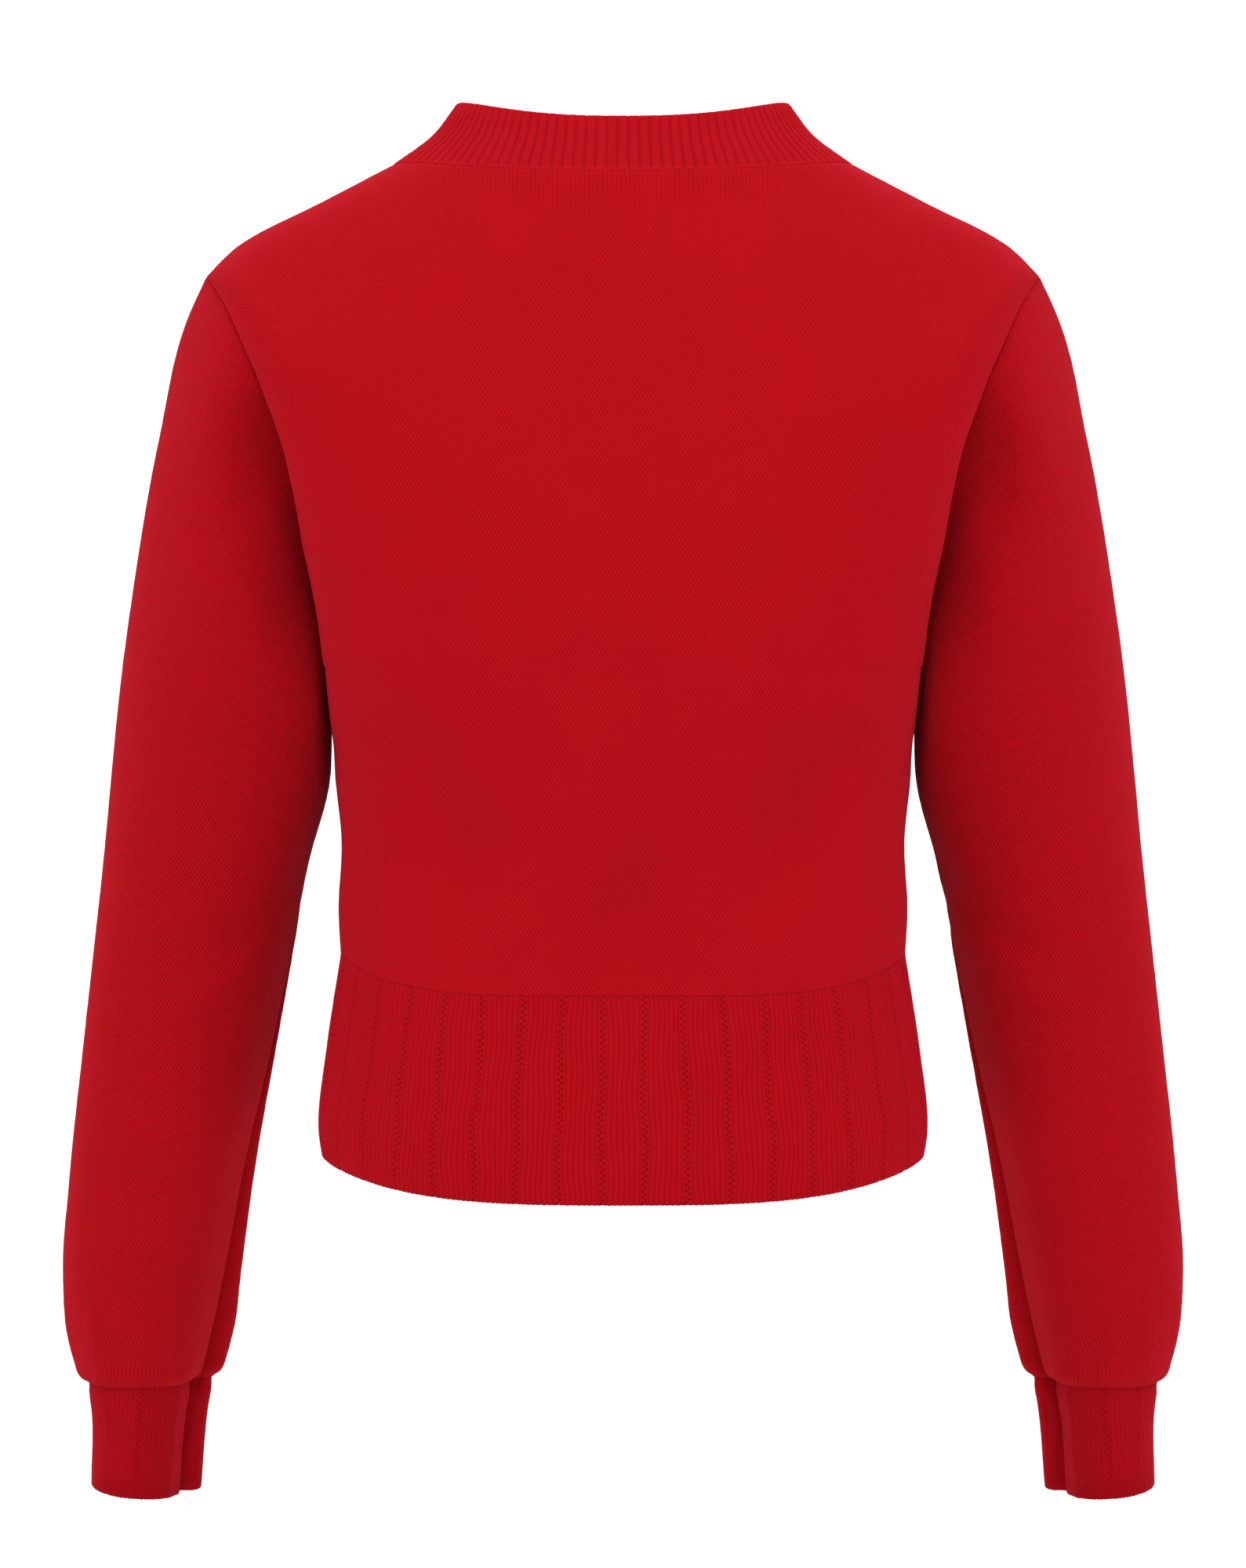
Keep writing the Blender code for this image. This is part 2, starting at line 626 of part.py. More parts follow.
def mirrored(points):
    """The right-hand twin of a closed grid, with its columns turned to keep it outward."""
    turned = points[:, ::-1] * np.array([-1.0, 1.0, 1.0])
    return np.roll(turned, 1, axis=1)


def torso_sheets(splits):
    """The back and front panels, with their armhole edges lined up for the sleeves."""
    places = stations(splits)
    names = list(TORSO_LEVELS)
    first = int(np.flatnonzero(places == names.index(UNDERARM))[0])
    last = int(np.flatnonzero(places == names.index(SHOULDER_TIP))[0])
    back = torso_panel("back", places, PANEL_COLUMNS)
    front = torso_panel("front", places, PANEL_COLUMNS)
    seams = ("first row", "last row", "sides")
    sheets = {
        "back": new_sheet("back", back, BODY_WALL, False, seams),
        "front": new_sheet("front", front, BODY_WALL, False, seams)}
    down_back = back[first:last + 1, -1][::-1]
    up_front = front[first:last + 1, 0]
    loop = np.concatenate([down_back, up_front[1:-1]])
    return sheets, loop, first, last


def line_up_armholes(sheets, loop, first, last):
    """Set how the panels' walls and gaps run along both armholes."""
    along, out, side = armhole_frame(loop)
    count = last - first
    for row in range(first, last + 1):
        on_back = last - row
        on_front = (count + row - first) % len(loop)
        for name, place, sign in (("back", on_back, 1.0), ("front", on_front, -1.0)):
            shift = -side[place] * SEAM_GAP / 2
            if row in (first, last):
                apart = along[place] * np.sign(along[place][1]) * sign
                shift = shift + apart * SEAM_GAP / 2
            flip = np.array([-1.0, 1.0, 1.0])
            left = -1 if name == "back" else 0
            right = 0 if name == "back" else -1
            sheet = sheets[name]
            sheet["normals"][row, left] = out[place]
            sheet["normals"][row, right] = out[place] * flip
            sheet.setdefault("set_shifts", []).append((row, left, shift))
            sheet["set_shifts"].append((row, right, shift * flip))
    return out, side


def sleeve_sheets(loop, out, side, splits):
    """Both sleeves, whose first rings lie on the armholes."""
    left = sleeve_rings(loop, splits)
    sheets = []
    flip = np.array([-1.0, 1.0, 1.0])
    for name, points in (("sleeve_left", left), ("sleeve_right", mirrored(left))):
        sheet = new_sheet(name, points, BODY_WALL, True, ("first row", "last row"))
        if name == "sleeve_left":
            first_out = out
            first_side = side
        else:
            first_out = np.roll(out[::-1] * flip, 1, axis=0)
            first_side = np.roll(side[::-1] * flip, 1, axis=0)
        sheet["normals"][0] = first_out
        level_rim(sheet, -1)
        sheet["set_shifts"] = [
            (0, column, first_side[column] * SEAM_GAP / 2) for column in range(len(loop))]
        sheets.append(sheet)
    return sheets


def repeat_places(repeats):
    """Column places of a band: a plain point, then a groove with its two edges."""
    edge = EYELET_GROOVE_SHARE / 2
    pattern = (0.0, 0.5 - edge, 0.5, 0.5 + edge)
    places = [(repeat + part) / repeats for repeat in range(repeats) for part in pattern]
    depths = [-EYELET_GROOVE_DEPTH * (part == 0.5) for part in pattern] * repeats
    return np.array(places), np.array(depths)


def hem_sheets():
    """The two halves of the hem, with a groove along each column of eyelets."""
    half_repeats = HEM_EYELET_COLUMNS // 2
    share, depths = repeat_places(half_repeats)
    share = np.append(share, 1.0)
    depths = np.append(depths, 0.0)
    places = np.arange(len(HEM_LEVELS), dtype=float)
    sheets = []
    for half in ("back", "front"):
        points = hem_panel(half, places, share)
        sheet = new_sheet(f"hem_{half}", points, BAND_WALL, False, ("last row", "sides"))
        level_rim(sheet, -1)
        across = np.concatenate([depths[:0:-1], depths])
        sheet["relief"] += across[None, :]
        sheets.append(sheet)
    return sheets


def cuff_sheets():
    """Both cuffs, each a ribbed tube below its sleeve."""
    share, depths = repeat_places(CUFF_EYELET_COLUMNS)
    angles = share * 2 * math.pi
    left = cuff_rings(np.array([0.0, 1.0, 2.0]), angles)
    sheets = []
    for name, points, across in (
            ("cuff_left", left, depths),
            ("cuff_right", mirrored(left), np.roll(depths[::-1], 1))):
        sheet = new_sheet(name, points, BAND_WALL, True, ("first row",))
        level_rim(sheet, 0)
        sheet["relief"] += across[None, :]
        sheets.append(sheet)
    return sheets


def row_shares(row):
    """How far along its row each point lies, from nought to one."""
    steps = np.linalg.norm(np.diff(row, axis=0), axis=1)
    lengths = np.concatenate([[0.0], np.cumsum(steps)])
    return lengths / lengths[-1]


def spread_along(values, shares, places):
    """Values known at some shares of a row, read at other places along it."""
    return np.stack([np.interp(places, shares, axis) for axis in values.T], axis=1)


def meet_collar(panels, collar):
    """Join the collar's first ring to the panels' top rows, with one wall direction."""
    count = collar["points"].shape[1] // 2
    places = np.linspace(0.0, 1.0, count + 1)
    halves = []
    for start, name in enumerate(("back", "front")):
        columns = (np.arange(count + 1) + start * count) % (2 * count)
        shares = row_shares(panels[name]["points"][-1])
        own = spread_along(collar["normals"][0, columns], places, shares)
        halves.append((panels[name], columns, shares, own))
    for panel, columns, shares, own in halves:
        panel["normals"][-1] = unit(panel["normals"][-1] + own)
        collar["points"][0, columns] = spread_along(panel["points"][-1], shares, places)
        facing = spread_along(panel["normals"][-1], shares, places)
        collar["normals"][0, columns] = unit(facing)


def collar_sheet():
    """The neckband with its ribs raised over a plain inside."""
    share = np.linspace(0.0, 1.0, COLLAR_RIBS // 2 + 1)
    places = np.arange(len(COLLAR_RINGS), dtype=float)
    points = collar_rings(places, share)
    sheet = new_sheet("collar", points, COLLAR_WALL, True, ("first row",))
    ribs = np.where(np.arange(points.shape[1]) % 2 == 0, 0.5, -0.5)
    sheet["relief"] += ribs[None, :] * COLLAR_RIB_HEIGHT
    return sheet


def clear_scene():
    """Start with nothing in the scene."""
    for item in list(bpy.data.objects):
        bpy.data.objects.remove(item, do_unlink=True)


def main():
    """Shape the panels first, then the pieces that are sewn to them."""
    clear_scene()
    panels, loop, first, last = torso_sheets(torso_value("splits"))
    folds = soft_folds(panels["back"]["points"])
    sheets = [panels["back"], panels["front"]]
    inside = np.ones_like(folds)
    inside[:, 0] = 0.0
    inside[:, -1] = 0.0
    inside[:len(WAIST_FOLD_SHARES)] *= np.array(WAIST_FOLD_SHARES)[:, None]
    lifted = panels["back"]["normals"] * (folds * inside)[..., None]
    panels["back"]["points"] = panels["back"]["points"] + lifted
    collar = collar_sheet()
    share_normals(sheets)
    meet_collar(panels, collar)
    for sheet in sheets:
        level_rim(sheet, 0)
    out, side = line_up_armholes(panels, loop, first, last)
    splits = table_column(SLEEVE_RINGS, ARM_COLUMNS, "splits")
    sheets += sleeve_sheets(loop, out, side, splits)
    sheets += hem_sheets()
    sheets += cuff_sheets()
    sheets.append(collar)
    for sheet in sheets:
        open_seams(sheet)
        add_piece(sheet)


main()
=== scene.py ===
"""Dresses the round-neck knit top: fine knitted shells over the plain solids, red wool, studio.

Every shell follows the same named sizes as its solid, in finer steps. Its ribs, eyelet
grooves, rolled edges, seam grooves and soft folds are in the mesh; stitches and yarn are in
the wool, which reads each shell's own "knit" map: across the wales and up the courses.
"""

import math
from functools import partial

import bpy
import numpy as np
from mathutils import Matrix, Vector


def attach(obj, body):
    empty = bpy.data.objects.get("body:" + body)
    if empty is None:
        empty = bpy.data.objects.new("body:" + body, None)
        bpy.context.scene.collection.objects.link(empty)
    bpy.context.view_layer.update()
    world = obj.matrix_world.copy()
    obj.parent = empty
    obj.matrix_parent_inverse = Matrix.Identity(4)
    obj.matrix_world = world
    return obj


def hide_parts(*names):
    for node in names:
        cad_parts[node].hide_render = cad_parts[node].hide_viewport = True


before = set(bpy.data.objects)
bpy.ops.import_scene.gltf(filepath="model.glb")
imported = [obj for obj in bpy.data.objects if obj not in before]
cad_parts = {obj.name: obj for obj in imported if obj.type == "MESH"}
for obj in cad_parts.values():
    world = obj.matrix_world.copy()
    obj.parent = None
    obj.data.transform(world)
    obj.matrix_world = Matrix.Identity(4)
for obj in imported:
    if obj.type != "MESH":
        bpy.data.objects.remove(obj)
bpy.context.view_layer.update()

# ------------------------------------------------------------------ driving sizes, metres
BODY_WALL = 0.0022
BAND_WALL = 0.0024
COLLAR_WALL = 0.0034
SEAM_GAP = 0.00005
WOOL_UNEVEN = 0.00004            # how far the felted face rises and falls
UNEVEN_SEED = 7

# How far a sewn edge rolls in at each kind of seam, and how wide the roll is.
SIDE_ROLL = 0.0006
WAIST_ROLL = 0.0
NECK_ROLL = 0.0002
CUFF_ROLL = 0.0003
SEAM_ROLL_WIDTH = 0.0010
LEAST_ROLL_SHARE = 0.05          # of the distance to the next row or column of the mesh
MOST_ROLL_SHARE = 0.6
ROLLED_EDGE_STEPS = 6

# The body's mesh, and the folds beside its armholes.
EVEN_STEPS = 241                 # fine steps by which a row is spaced evenly
PANEL_COLUMNS = 192
ROWS_PER_SPLIT = 5
EASED_ROWS = 9.0                 # rows and columns by the shoulder tip where a bend is eased
EASED_COLUMNS = 12.0
EASING_PASSES = 60
TUCK_SHARE = 0.16                # share of a half row that turns in at the armhole
TUCK_TURN = math.radians(65.0)
SEAM_FADE = 0.012                # the soft folds of the body end this far from a seam

# The sleeves' mesh. Their folds end over some rows at each end, and those of the right
# sleeve lie a little apart from those of the left one.
CAP_SPLITS = 2
FIRST_SLEEVE_ROWS = 4
SLEEVE_ROWS_PER_SPLIT = 8
ARMHOLE_FADE_ROWS = 10.0
CUFF_FADE_ROWS = 4.0
RIGHT_FOLD_STEP = 2.3
RIGHT_FOLD_LEAN = 8.0            # degrees
RIGHT_FOLD_TURN = 6.0            # degrees
RIGHT_FOLD_RISE = 0.008
SOFT_CREASE = 0.70               # share of the solid's wide crease, and a sharp one in it
SHARP_CREASE = 1.6

# The cuff seam sits a little under the sleeve, which puffs out above it.
CUFF_TUCK = 0.0010
TUCK_ABOVE = 0.0025
TUCK_BELOW = 0.004
CUFF_PUFF = 0.0010
CUFF_PUFF_UP = 0.006
CUFF_PUFF_WIDTH = 0.005

# The collar's ribs: sizes across a rib are shares of it.
COLLAR_RIBS = 112
COLLAR_STEPS = 8                 # mesh columns in one rib
COLLAR_ROWS = 26
COLLAR_EDGE = 0.07               # share of the last table step that the folded edge takes
COLLAR_RIB_HEIGHT = 0.0006
COLLAR_RIB_PROUD = 0.35
COLLAR_GROOVE_WIDTH = 0.15
COLLAR_RIB_FADE = 0.007          # the ribs flatten this far below the folded edge
COLLAR_EDGE_RIB = 0.2
COLLAR_FOLLOW = 0.6              # how far the inner face follows the grooves of the outer

# The bands' wales and eyelet columns: sizes across them are shares of an eyelet repeat.
HEM_EYELET_COLUMNS = 20          # in each half of the hem
HEM_START = (0.09, 0.25)         # table places of its first rows
HEM_ROWS = 36
HEM_RIB_FADE = 0.003             # its wales start this far below the waist seam
CUFF_EYELET_COLUMNS = 9
CUFF_ROWS = 30
CUFF_EDGE = 0.03                 # share of the last table step that the rolled edge takes
WALES_PER_REPEAT = 8
WALE_STEPS = 4                   # mesh columns in one wale
WALE_GROOVE = 0.00026
WALE_GROOVE_WIDTH = 0.22         # in wales
EYELET_GROOVE = 0.0003
EYELET_GROOVE_WIDTH = 0.055
EYELET_BORDER = (0.06, 0.10)     # beside an eyelet column the wales begin between these
BAND_FOLLOW = 0.5
BAND_SWAY = 0.028                # how far the wales of a band wander
LONG_SWAY = 0.058                # metres up the band in which they wander there and back
SHORT_SWAY = 0.031

# One row for each level of the torso, from the waist seam up. The seam columns are the side
# seam below the underarm, the armhole up to the shoulder tip, and then the shoulder seam.
# Turn is how far a row has turned from facing back or front when it meets its seam.
TORSO_COLUMNS = (
    "seam_x", "seam_y", "seam_z", "back_y", "back_z", "back_rise",
    "front_y", "front_z", "front_rise", "squareness", "turn", "splits")
TORSO_LEVELS = {
    "waist seam": (0.1346, 0.0, -0.3806, 0.0880, -0.3975, 4.0, -0.0930, -0.3955, 4.0, 2.4, 90, 2),
    "waist": (0.1357, 0.0, -0.3600, 0.0885, -0.3700, 4.0, -0.0945, -0.3690, 4.0, 2.4, 90, 2),
    "low ribs": (0.1342, 0.0, -0.3280, 0.0912, -0.3340, 3.5, -0.0990, -0.3350, 3.5, 2.4, 90, 2),
    "ribs": (0.1374, 0.0, -0.2950, 0.0975, -0.2970, 3.0, -0.1085, -0.3010, 3.0, 2.4, 90, 2),
    "underarm": (0.1380, -0.003, -0.2450, 0.1045, -0.2480, 3.0, -0.1165, -0.2560, 3.0, 2.4, 90, 2),
    "arm low": (0.1400, 0.010, -0.2200, 0.1070, -0.2250, 3.0, -0.1190, -0.2390, 3.0, 2.4, 90, 2),
    "chest": (0.1450, 0.026, -0.1900, 0.1080, -0.1990, 3.0, -0.1185, -0.2190, 3.0, 2.4, 90, 3),
    "blade": (0.1545, 0.044, -0.1430, 0.1073, -0.1670, 2.8, -0.1160, -0.1960, 2.6, 2.4, 88, 2),
    "upper arm": (0.1726, 0.060, -0.1050, 0.1045, -0.1410, 2.6, -0.1115, -0.1730, 2.3, 2.4, 82, 2),
    "high arm": (0.1842, 0.046, -0.0800, 0.1002, -0.1200, 2.4, -0.1070, -0.1510, 2.2, 2.4, 80, 2),
    "shoulder tip": (0.1988, 0.0, -0.0572, 0.0955, -0.1000, 2.2, -0.1035, -0.1330, 2.2, 2.3, 84, 1),
    "shoulder end": (0.1880, 0.0, -0.0462, 0.0915, -0.0850, 2.2, -0.1005, -0.1200, 2.2, 2.3, 88, 2),
    "shoulder": (0.1480, 0.0, -0.0250, 0.0815, -0.0480, 2.2, -0.0940, -0.1000, 2.5, 2.2, 90, 2),
    "neck seam": (0.1100, 0.0, -0.0052, 0.0700, -0.0166, 2.2, -0.0880, -0.0800, 3.0, 2.15, 90, 0),
}
UNDERARM = list(TORSO_LEVELS).index("underarm")
SHOULDER_TIP = list(TORSO_LEVELS).index("shoulder tip")

# Where the front half of the armhole runs: the back half is in the table above.
SEAM_COLUMNS = ("seam_x", "seam_y", "seam_z")
FRONT_ARMHOLE = {
    "arm low": (0.1385, -0.022, -0.2220),
    "chest": (0.1405, -0.044, -0.1920),
    "blade": (0.1470, -0.060, -0.1470),
    "upper arm": (0.1620, -0.066, -0.1090),
    "high arm": (0.1785, -0.050, -0.0830),
}

# At the back the cloth beside the armhole stands proud of the seam in a long soft fold.
FOLD_START = 3.0                 # share of the turn-in by which the fold stands fully proud
ARMHOLE_FOLD_COLUMNS = ("x", "y", "tuck")
BACK_ARMHOLE_FOLD = {
    "ribs": (0.1374, 0.0, 0.0),
    "underarm": (0.1408, 0.024, 0.6),
    "arm low": (0.1438, 0.034, 1.0),
    "chest": (0.1492, 0.045, 1.0),
    "blade": (0.1577, 0.058, 1.0),
    "upper arm": (0.1726, 0.060, 0.0),
}

# The ribbed hem below the waist seam.
HEM_COLUMNS = ("side_x", "side_z", "back_y", "back_z", "front_y", "front_z", "rise")
HEM_LEVELS = {
    "bottom": (0.1435, -0.4770, 0.0950, -0.4925, -0.0980, -0.4900, 3.0),
    "low": (0.1452, -0.4650, 0.0950, -0.4780, -0.0980, -0.4760, 3.2),
    "middle": (0.1414, -0.4250, 0.0915, -0.4380, -0.0955, -0.4360, 3.6),
    "waist seam": (0.1346, -0.3806, 0.0880, -0.3975, -0.0930, -0.3955, 4.0),
}
HEM_SQUARENESS = 2.4

# Rings of the left sleeve below the armhole. Outer is the side away from the body. The
# crease sinks into the inner side, and turn carries its front lobe towards the body.
ARM_COLUMNS = (
    "outer_x", "outer_z", "inner_x", "inner_z", "back_y", "front_y", "crease", "turn", "splits")
SLEEVE_RINGS = {
    "cap": (0.2224, -0.1350, 0.1400, -0.2740, 0.0510, -0.0690, 0.0, 0.0, 2),
    "upper arm": (0.2380, -0.2250, 0.1416, -0.3000, 0.0430, -0.0700, 0.001, 0.05, 3),
    "elbow": (0.2512, -0.3400, 0.1536, -0.3450, 0.0250, -0.0700, 0.003, 0.10, 3),
    "forearm": (0.2612, -0.4200, 0.1682, -0.4200, 0.0080, -0.0720, 0.004, 0.15, 2),
    "low arm": (0.2696, -0.4920, 0.1812, -0.4920, -0.0010, -0.0770, 0.006, 0.25, 2),
    "puff": (0.2734, -0.5400, 0.1880, -0.5400, -0.0070, -0.0810, 0.008, 0.30, 2),
    "above cuff": (0.2712, -0.5700, 0.1922, -0.5700, -0.0130, -0.0820, 0.010, 0.35, 2),
    "gather": (0.2668, -0.5850, 0.1970, -0.5850, -0.0180, -0.0800, 0.010, 0.35, 1),
    "cuff seam": (0.2624, -0.5925, 0.2018, -0.5925, -0.0205, -0.0785, 0.010, 0.35, 0),
}
CAP_START_OUT = 0.0080                  # how the sleeve leaves the armhole seam
CAP_START_UNDER = 0.0010
CAP_START_DROP = 0.0050
CAP_END_DROP = 0.0125                   # extra drop at the shoulder tip and the underarm
CUFF_RINGS = {
    "cuff seam": SLEEVE_RINGS["cuff seam"],
    "cuff top": (0.2606, -0.6030, 0.2040, -0.6035, -0.0210, -0.0780, 0.010, 0.35),
    "cuff bottom": (0.2602, -0.6430, 0.2082, -0.6480, -0.0200, -0.0790, 0.009, 0.35),
}
CREASE_TURN = math.radians(172.0)
CREASE_WIDTH = math.radians(24.0)
SHARP_CREASE_TURN = (196.0, -34.0)      # degrees round, and how it changes with the turn
SHARP_CREASE_WIDTH = math.radians(6.0)
ARM_SQUARENESS = 2.1

# The collar from its seam to its folded edge.
COLLAR_COLUMNS = ("side_x", "side_z", "back_y", "back_z", "front_y", "front_z")
COLLAR_RINGS = {
    "neck seam": (0.1100, -0.0052, 0.0700, -0.0166, -0.0880, -0.0800),
    "middle": (0.0910, 0.0092, 0.0580, -0.0010, -0.0765, -0.0625),
    "edge": (0.0792, 0.0250, 0.0490, 0.0122, -0.0660, -0.0450),
}
COLLAR_SQUARENESS = 2.15
COLLAR_BACK_RISE = 2.2
COLLAR_FRONT_RISE = 3.0
COLLAR_FAN = 0.35                # how much wider the ribs of its edge are in the middle

# Soft folds over the plain forms: the middle of each one, its lean in degrees, and its size.
FOLD_COLUMNS = ("x", "z", "lean", "length", "width", "height")
BACK_FOLDS = {
    "middle ridge": (0.000, -0.225, 0.0, 0.110, 0.030, 0.0016),
    "left blade hollow": (0.074, -0.160, -8.0, 0.060, 0.030, -0.0018),
    "right blade hollow": (-0.074, -0.160, 8.0, 0.060, 0.030, -0.0018),
    "left waist drag": (0.078, -0.315, 35.0, 0.055, 0.022, -0.0020),
    "right waist drag": (-0.078, -0.315, -35.0, 0.055, 0.022, -0.0020),
    "small of back": (0.000, -0.370, 0.0, 0.040, 0.034, -0.0036),
    "left of small": (0.046, -0.372, 12.0, 0.034, 0.018, 0.0014),
    "right of small": (-0.046, -0.372, -12.0, 0.034, 0.018, 0.0014),
    "long middle ridge": (0.002, -0.200, 1.0, 0.120, 0.026, 0.0024),
    "left blade dip": (0.076, -0.155, -8.0, 0.055, 0.026, -0.0018),
    "right blade dip": (-0.078, -0.160, 9.0, 0.058, 0.027, -0.0016),
    "left flank drag": (0.082, -0.320, 32.0, 0.052, 0.020, -0.0046),
    "right flank drag": (-0.080, -0.324, -36.0, 0.054, 0.020, -0.0048),
    "hollow of back": (0.001, -0.382, 0.0, 0.038, 0.026, -0.0060),
    "below the nape": (0.000, -0.040, 90.0, 0.080, 0.014, -0.0014),
    "left underarm drag": (0.098, -0.262, 40.0, 0.045, 0.012, 0.0012),
    "right underarm drag": (-0.101, -0.268, -42.0, 0.043, 0.012, 0.0010),
    "left waist ridge": (0.045, -0.345, 20.0, 0.040, 0.012, 0.0009),
    "right waist ridge": (-0.050, -0.350, -24.0, 0.038, 0.012, 0.0010),
}
FRONT_FOLDS = {
    "middle hollow": (0.004, -0.300, 2.0, 0.070, 0.028, -0.0014),
    "left drag": (0.062, -0.300, 28.0, 0.060, 0.018, 0.0013),
    "right drag": (-0.068, -0.305, -26.0, 0.055, 0.018, 0.0012),
    "left chest": (0.060, -0.170, -14.0, 0.050, 0.036, 0.0014),
    "right chest": (-0.057, -0.172, 12.0, 0.052, 0.034, 0.0015),
}

# Soft folds of a sleeve: place round it in degrees from its outer line towards the back,
# then as for the body's folds.
SLEEVE_FOLD_COLUMNS = ("round", "z", "lean", "length", "width", "height")
SLEEVE_FOLDS = {
    "inner swell": (138.0, -0.235, 0.0, 0.100, 0.022, 0.0048),
    "upper swell": (102.0, -0.165, 0.0, 0.050, 0.024, 0.0040),
    "upper ridge": (70.0, -0.250, 4.0, 0.120, 0.018, 0.0010),
    "elbow crease": (130.0, -0.370, 50.0, 0.030, 0.008, -0.0012),
    "elbow ridge": (120.0, -0.395, 45.0, 0.034, 0.009, 0.0010),
    "inner arm crease": (215.0, -0.360, -40.0, 0.035, 0.009, -0.0013),
    "cuff pucker a": (60.0, -0.572, 3.0, 0.024, 0.006, 0.0009),
    "cuff pucker b": (95.0, -0.570, -4.0, 0.026, 0.006, 0.0010),
    "cuff pucker c": (128.0, -0.573, 3.0, 0.022, 0.006, 0.0009),
    "cuff pucker d": (20.0, -0.574, 0.0, 0.022, 0.006, 0.0008),
    "cuff pucker e": (250.0, -0.570, 0.0, 0.024, 0.007, 0.0009),
    "cuff pucker f": (295.0, -0.573, 0.0, 0.024, 0.007, 0.0010),
    "cuff pucker g": (332.0, -0.571, 0.0, 0.024, 0.006, 0.0008),
}

# The wool of each kind of piece: its red as linear light, how much shade is painted
# between the stitches, how fuzzy and mottled it is, and the height of its stitches.
WOOL_COLUMNS = ("red", "shadow", "fuzz", "height")
WOOLS = {
    "body": ((0.326, 0.0028, 0.0062, 1.0), 0.34, 0.15, 0.0007),
    "sleeve": ((0.338, 0.0028, 0.0064, 1.0), 0.40, 0.38, 0.0010),
    "collar": ((0.268, 0.0024, 0.0056, 1.0), 0.19, 0.26, 0.0004),
    "hem": ((0.268, 0.0020, 0.0048, 1.0), 0.30, 0.26, 0.0005),
    # The cuff's red is darker than the hem's, though the yarn is the same: painted shade of the
    # dimmer light low down.
    "cuff": ((0.240, 0.0020, 0.0050, 1.0), 0.22, 0.30, 0.0003),
}
WOOL_FINISH = {
    "Roughness": 0.92,
    "Specular IOR Level": 0.02,
    "Sheen Weight": 0.28,
    "Sheen Roughness": 0.45,
    "Sheen Tint": (1.0, 0.04, 0.08, 1.0),
}
STITCH_STRENGTH = 0.6
FIBRES = 1100.0                  # noise scales: fibres, clumps of them, and dyed clouds
CLUMPS = 330.0
CLOUDS = 22.0
CLUMP_SHARE = 0.5
CLOUD_SHARE = 0.10
FIBRE_HEIGHT = 0.5

# Sizes of the stitches. A reach says where a change starts and where it is complete.
WALE = 0.0019
COURSE = 0.0015
WANDERS = 60.0                   # noise scale by which the wales wander
WANDER = 0.0016
DOT_COURSE = 0.0019
NECK_WALE = 0.0021
NECK_REACH = (0.038, 0.004)
NECK_SHARE = 0.62
SIDE_WALE = 0.0023
SIDE_REACH = (0.055, 0.020)
SIDE_HEIGHTS = (0.20, 0.26)
SIDE_SHARE = 0.75
RIB_EDGE = (0.02, 0.20)
RIB_COURSE = 0.0021
LINK_REACH = (0.0024, 0.0012)
BAND_COURSE = 0.0019
BAND_GROOVE = (-0.12, 0.24)
EYELET_PLAIN = (0.095, 0.065)
EYELET_COURSE = 0.0028
EYELET_LINE = 0.036              # how far each line of eyelets lies from its column's middle
EYELET_SHAPE = (19.3, 2.8)       # one over its half width and its half height
EYELET_RIM = (0.30, 0.95)
# Painted shade: each eyelet is a dark dot in the colour, in place of a hole.
EYELET_PAINTED_SHADE = -0.40
# Painted shade: the top of each cuff is darkened in its colour, below the puffed sleeve.
CUFF_PAINTED_SHADE_REACH = (0.003, 0.013)
CUFF_PAINTED_SHADE = 0.30

# The camera of the photograph, level with the waist and straight behind the back.
CAMERA_PLACE = (0.0, 2.0, -0.300)
CAMERA_PIXELS = 5333.33          # focal length in pixels of the 1589 wide frame
FRAME_WIDTH = 1589.0
SENSOR_WIDTH = 36.0

FLOOR_HEIGHT = -1.35             # the top hangs as high as it is worn
FLOOR_SIZE = 40.0
FLOOR_WHITE = (0.96, 0.96, 0.96, 1.0)
FLOOR_LIGHTEN = 1.03
DAYLIGHT = 1.18
WINDOW_COLUMNS = ("place", "aim", "size", "power")
WINDOWS = {
    "left_window": ((1.7, 1.1, 1.3), (0.0, 0.0, -0.10), (0.9, 1.2), 20.0),
    "right_window": ((-1.7, 1.1, 1.3), (0.0, 0.0, -0.10), (0.9, 1.2), 20.0),
    "front_window": ((0.0, 2.3, 0.9), (0.0, 0.0, -0.15), (2.2, 1.0), 24.0),
}

FLIP = np.array([-1.0, 1.0, 1.0])     # turns a left place into its right twin
LEVEL = np.array([1.0, 1.0, 0.0])     # takes the rise out of a direction


# ------------------------------------------------------------------------- reading tables
def table_column(table, columns, name):
    """One named column of a table, from its first row to its last."""
    place = columns.index(name)
    return np.array([row[place] for row in table.values()])


def through(knots, values, places):
    """A smooth curve through a table's values, read at the given places."""
    knots = np.asarray(knots, float)
    values = np.asarray(values, float)
    places = np.asarray(places, float)
    slopes = np.gradient(values, knots, axis=0)
    left = np.clip(np.searchsorted(knots, places, side="right") - 1, 0, len(knots) - 2)
    span = knots[left + 1] - knots[left]
    share = (places - knots[left]) / span
    if values.ndim > 1:
        span = span[:, None]
        share = share[:, None]
    square = share * share
    cube = square * share
    start = (2 * cube - 3 * square + 1) * values[left]
    start_slope = (cube - 2 * square + share) * span * slopes[left]
    end = (3 * square - 2 * cube) * values[left + 1]
    end_slope = (cube - square) * span * slopes[left + 1]
    return start + start_slope + end + end_slope


def curve_values(table, columns, knots, along):
    """Every named column of a table as a smooth curve, read at the given places."""
    return {name: through(knots, table_column(table, columns, name), along) for name in columns}


def at_rows(lengths, places):
    """Distances at places that are counted in rows of a table."""
    return np.interp(places, np.arange(len(lengths)), lengths)


